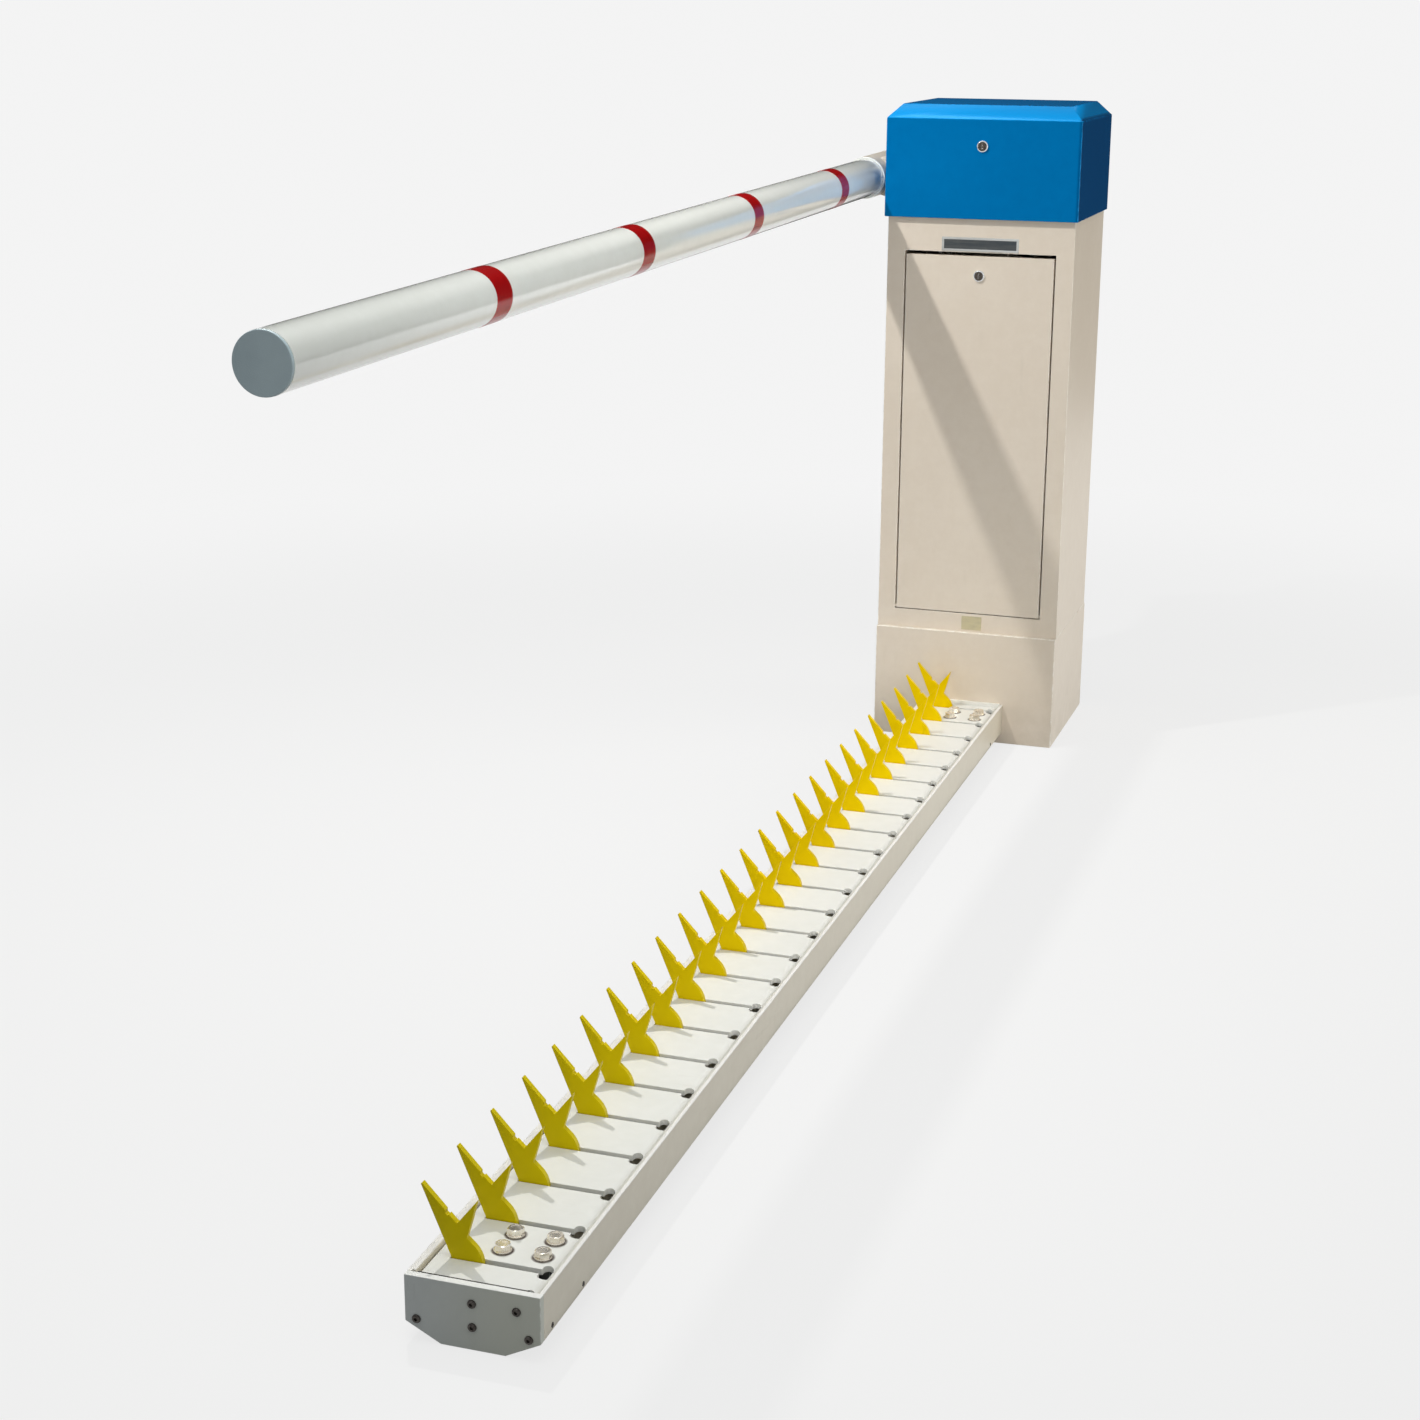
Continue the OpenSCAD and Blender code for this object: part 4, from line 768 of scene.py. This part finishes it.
def spotMesh(name, spots):    # a spot is place, facing, size, turn and which form it takes
    mesh = bpy.data.meshes.new(name)
    places, facings, sizes, turns, kinds = zip(*spots)
    mesh.from_pydata(places, [], [])
    ways = [c for facing in facings for c in facing]
    mesh.attributes.new("size", "FLOAT", "POINT").data.foreach_set("value", sizes)
    mesh.attributes.new("turn", "FLOAT", "POINT").data.foreach_set("value", turns)
    mesh.attributes.new("facing", "FLOAT_VECTOR", "POINT").data.foreach_set("vector", ways)
    mesh.attributes.new("kind", "INT", "POINT").data.foreach_set("value", kinds)
    return mesh


def makeFasteners(name, spots, forms, finish, body, node):
    labels = ["Form A", "Form B"]
    inputs = {**dict.fromkeys(labels, "NodeSocketObject"), "Finish": "NodeSocketMaterial"}
    grower = Grower(name + "Tree", inputs)
    given = grower.given.outputs
    aimed = grower.add("FunctionNodeAlignRotationToVector", {"axis": "Z"},
                       Vector=grower.read("facing", "FLOAT_VECTOR"))
    spun = grower.add("FunctionNodeAxisAngleToRotation", None, Axis=upward, Angle=grower.read("turn", "FLOAT"))
    turned = grower.add("FunctionNodeRotateRotation", {"rotation_space": "LOCAL"},
                        Rotation=aimed.outputs[0], Rotate_By=spun.outputs[0])
    joined = grower.tree.nodes.new("GeometryNodeJoinGeometry")
    for k, label in enumerate(labels):
        wanted = grower.add("FunctionNodeCompare", {"data_type": "INT", "operation": "EQUAL"})
        one, other = (p for p in wanted.inputs if p.type == "INT")    # the whole-number pair is the one in use
        grower.tree.links.new(grower.read("kind", "INT"), one)
        other.default_value = k
        info = grower.add("GeometryNodeObjectInfo", None, Object=given[label])
        put = grower.add("GeometryNodeInstanceOnPoints", None, Points=given["Geometry"],
                         Selection=wanted.outputs[0], Instance=info.outputs["Geometry"],
                         Rotation=turned.outputs[0], Scale=grower.read("size", "FLOAT"))
        grower.tree.links.new(put.outputs[0], joined.inputs[0])
    grower.close(joined.outputs[0])
    helpers = [placeMesh(name + "Form", form) for form in forms]
    obj = placeMesh(name, spotMesh(name, spots))
    grower.grow(obj, {**dict(zip(labels, helpers)), "Finish": finish}, name)
    for helper in helpers:
        bpy.data.objects.remove(helper)
    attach(obj, body)
    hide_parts(node)


def spotsOf(places, facing, size, kind):
    return [(p, facing, size, (k * turnSet["step"]) % turnSet["sixth"], kind) for k, p in enumerate(places)]


def sideways(spots):    # screws in the side walls face away from the strip
    return [(p, (0, math.copysign(1, p[1]), 0), *rest) for p, facing, *rest in spots]


boltSpots = spotsOf(boltSet["cover"], upward, boltSet["coverR"], 0)
boltSpots += spotsOf(boltSet["body"] + boltSet["pillow"], upward, boltSet["innerR"], 1)
boltForms = [boltForm(boltSet, boltSet["coverShank"]), boltForm(boltSet, boltSet["innerShank"])]
makeFasteners("hexBolts", boltSpots, boltForms, zincSteel, "base", "hex_bolts")
screwSpots = spotsOf(screwSet["end"], forward, screwSet["endR"], 0)
screwSpots += spotsOf(screwSet["joint"], forward, screwSet["jointR"], 0)
screwSpots += sideways(spotsOf(screwSet["side"], forward, screwSet["sideR"], 1))
screwForms = [screwForm(screwSet, "button"), screwForm(screwSet, "flush")]
makeFasteners("stripScrews", screwSpots, screwForms, darkScrew, "base", "strip_screws")
print("stage: fasteners")


# floor, backdrop colour and lamps
lightSet = {"ground": 0.902, "shadowShare": 0.14, "shadowFrom": 1.8, "shadowTo": 3.8, "shadowGain": 1.08,
            "middle": (1.2, 0.1), "floorAlbedo": 0.28, "floorHalf": 30, "floorZ": -0.0005,
            "zenith": 0.54, "horizon": 0.12, "side": 0.36, "sideFrom": 0.1, "mirrored": 0.8,
            "plain": (1, 1, 1, 1), "mirrorTint": (0.96, 0.98, 1.0, 1), "airTint": (0.975, 1.0, 0.985, 1)}


def backdropRays(wire):    # what the camera sees straight, and what it sees in a reflection or through glass
    direct, glossy, through = (wire.node("ShaderNodeLightPath", out="Is %s Ray" % kind)
                               for kind in ("Camera", "Glossy", "Transmission"))
    return direct, wire.maths("MAXIMUM", glossy, through)


def makeFloor(s):
    mesh = bpy.data.meshes.new("studioFloor")
    h, z = s["floorHalf"], s["floorZ"]
    mesh.from_pydata([(-h, -h, z), (h, -h, z), (h, h, z), (-h, h, z)], [], [(0, 1, 2, 3)])
    floor = placeMesh("studioFloor", mesh)
    mat = bpy.data.materials.new("studioFloor")
    mat.use_nodes = True
    mat.node_tree.nodes.clear()
    wire = Wire(mat.node_tree)
    place = wire.node("ShaderNodeTexCoord", out="Object")
    x, y = (place.axis(letter) - s["middle"][k] for k, letter in enumerate("XY"))
    far = wire.maths("SQRT", x * x + y * y)
    share = (1 - far.clamped(s["shadowFrom"], s["shadowTo"])) * s["shadowShare"]
    glow = s["ground"] - share * s["shadowGain"]
    plain = wire.node("ShaderNodeEmission", None, {"Color": s["plain"], "Strength": glow})
    lit = wire.node("ShaderNodeBsdfDiffuse", None, {"Color": share.mixed((0, 0, 0, 1), s["plain"])})
    seen = wire.node("ShaderNodeAddShader", None, {0: plain, 1: lit})
    direct, mirror = backdropRays(wire)
    soft = wire.node("ShaderNodeBsdfDiffuse", None, {"Color": (s["floorAlbedo"],) * 3 + (1,)})
    both = wire.node("ShaderNodeMixShader", None, {0: wire.maths("MAXIMUM", direct, mirror), 1: soft, 2: seen})
    wire.node("ShaderNodeOutputMaterial", None, {"Surface": both})
    mesh.materials.append(mat)


def makeAir(s):
    world = bpy.data.worlds.new("studioAir")
    world.use_nodes = True
    scene.world = world
    world.node_tree.nodes.clear()
    wire = Wire(world.node_tree)
    direct, mirror = backdropRays(wire)
    look = wire.node("ShaderNodeTexCoord", out="Generated")
    above = look.axis("Z").clamped(0.0, 1.0) * (s["zenith"] - s["horizon"])
    soft = above + look.axis("Y").clamped(s["sideFrom"], 1.0) * s["side"] + s["horizon"]
    seen = wire.node("ShaderNodeBackground", None, {"Color": s["plain"], "Strength": s["ground"]})
    shiny = wire.node("ShaderNodeBackground", None, {"Color": s["mirrorTint"], "Strength": s["mirrored"]})
    air = wire.node("ShaderNodeBackground", None, {"Color": s["airTint"], "Strength": soft})
    off = wire.node("ShaderNodeMixShader", None, {0: mirror, 1: air, 2: shiny})
    both = wire.node("ShaderNodeMixShader", None, {0: direct, 1: off, 2: seen})
    wire.node("ShaderNodeOutputWorld", None, {"Surface": both})


lampSet = {    # place, what it points at, size, watts, colour, spread in degrees
    "ceilingKey": ((1.17, -0.88, 2.38), (1.2, 0.0, 0.3), (0.05, 0.05), 29.2, (1.0, 0.985, 0.96), 180),
    "ceilingPanel": ((0.25, -0.5, 3.6), (0.6, 0.0, 0.1), (0.45, 0.45), 7, (1.0, 0.99, 0.97), 180),
    "frontBox": ((3.3, 0.9, 0.95), (0.16, 0.0, 0.52), (0.9, 0.9), 3.3, (1.0, 0.985, 0.97), 60),
    "rightFill": ((-0.3, 2.7, 0.7), (0.1, 0.0, 0.5), (1.4, 1.0), 10.5, (1.0, 0.96, 0.89), 110),
    "nearBox": ((2.7, 0.0, 2.6), (2.55, 0.0, 0.0), (0.8, 0.8), 1.15, (0.98, 1.0, 0.99), 60),
    "boomBox": ((2.6, 2.2, 1.6), (1.7, -0.25, 1.12), (1.2, 0.5), 1.0, (0.98, 1.0, 0.98), 36),
    "plinthBox": ((0.95, -1.2, 0.35), (0.17, -0.13, 0.12), (0.3, 0.3), 0.13, (1.0, 0.98, 0.95), 36)}


def makeLamp(name, place, aim, size, power, colour, spread):
    data = bpy.data.lights.new(name, "AREA")
    data.shape = "RECTANGLE"
    data.size, data.size_y = size
    data.energy = power
    data.color = colour
    data.spread = math.radians(spread)
    lamp = bpy.data.objects.new(name, data)
    ahead = (Vector(aim) - Vector(place)).normalized()
    lamp.rotation_euler = ahead.to_track_quat("-Z", "Y").to_euler()
    lamp.location = place
    lamp.visible_camera = False
    scene.collection.objects.link(lamp)


flagSet = {"place": (-4.0, -4.0, 0.0), "size": (7.5, 5.0), "tone": (0.012, 0.012, 0.014, 1), "rough": 0.9}


def makeFlag(s):    # dark card that only reflections see, as photographers hang beside glossy paint
    x, y, z = s["place"]
    w, h = s["size"]
    mesh = bpy.data.meshes.new("darkFlag")
    mesh.from_pydata([(x, y, z), (x, y + w, z), (x, y + w, z + h), (x, y, z + h)], [], [(0, 1, 2, 3)])
    flag = placeMesh("darkFlag", mesh)
    mat = bpy.data.materials.new("darkFlag")
    mat.use_nodes = True
    mesh.materials.append(plug(mat, {"Base Color": s["tone"], "Roughness": s["rough"]}))
    flag.visible_camera = False
    flag.visible_diffuse = False
    flag.visible_shadow = False
    flag.visible_transmission = False


makeFloor(lightSet)
makeAir(lightSet)
for name, lamp in lampSet.items():
    makeLamp(name, *lamp)
makeFlag(flagSet)
print("stage: lamps and floor")

scene.view_settings.view_transform = "Standard"
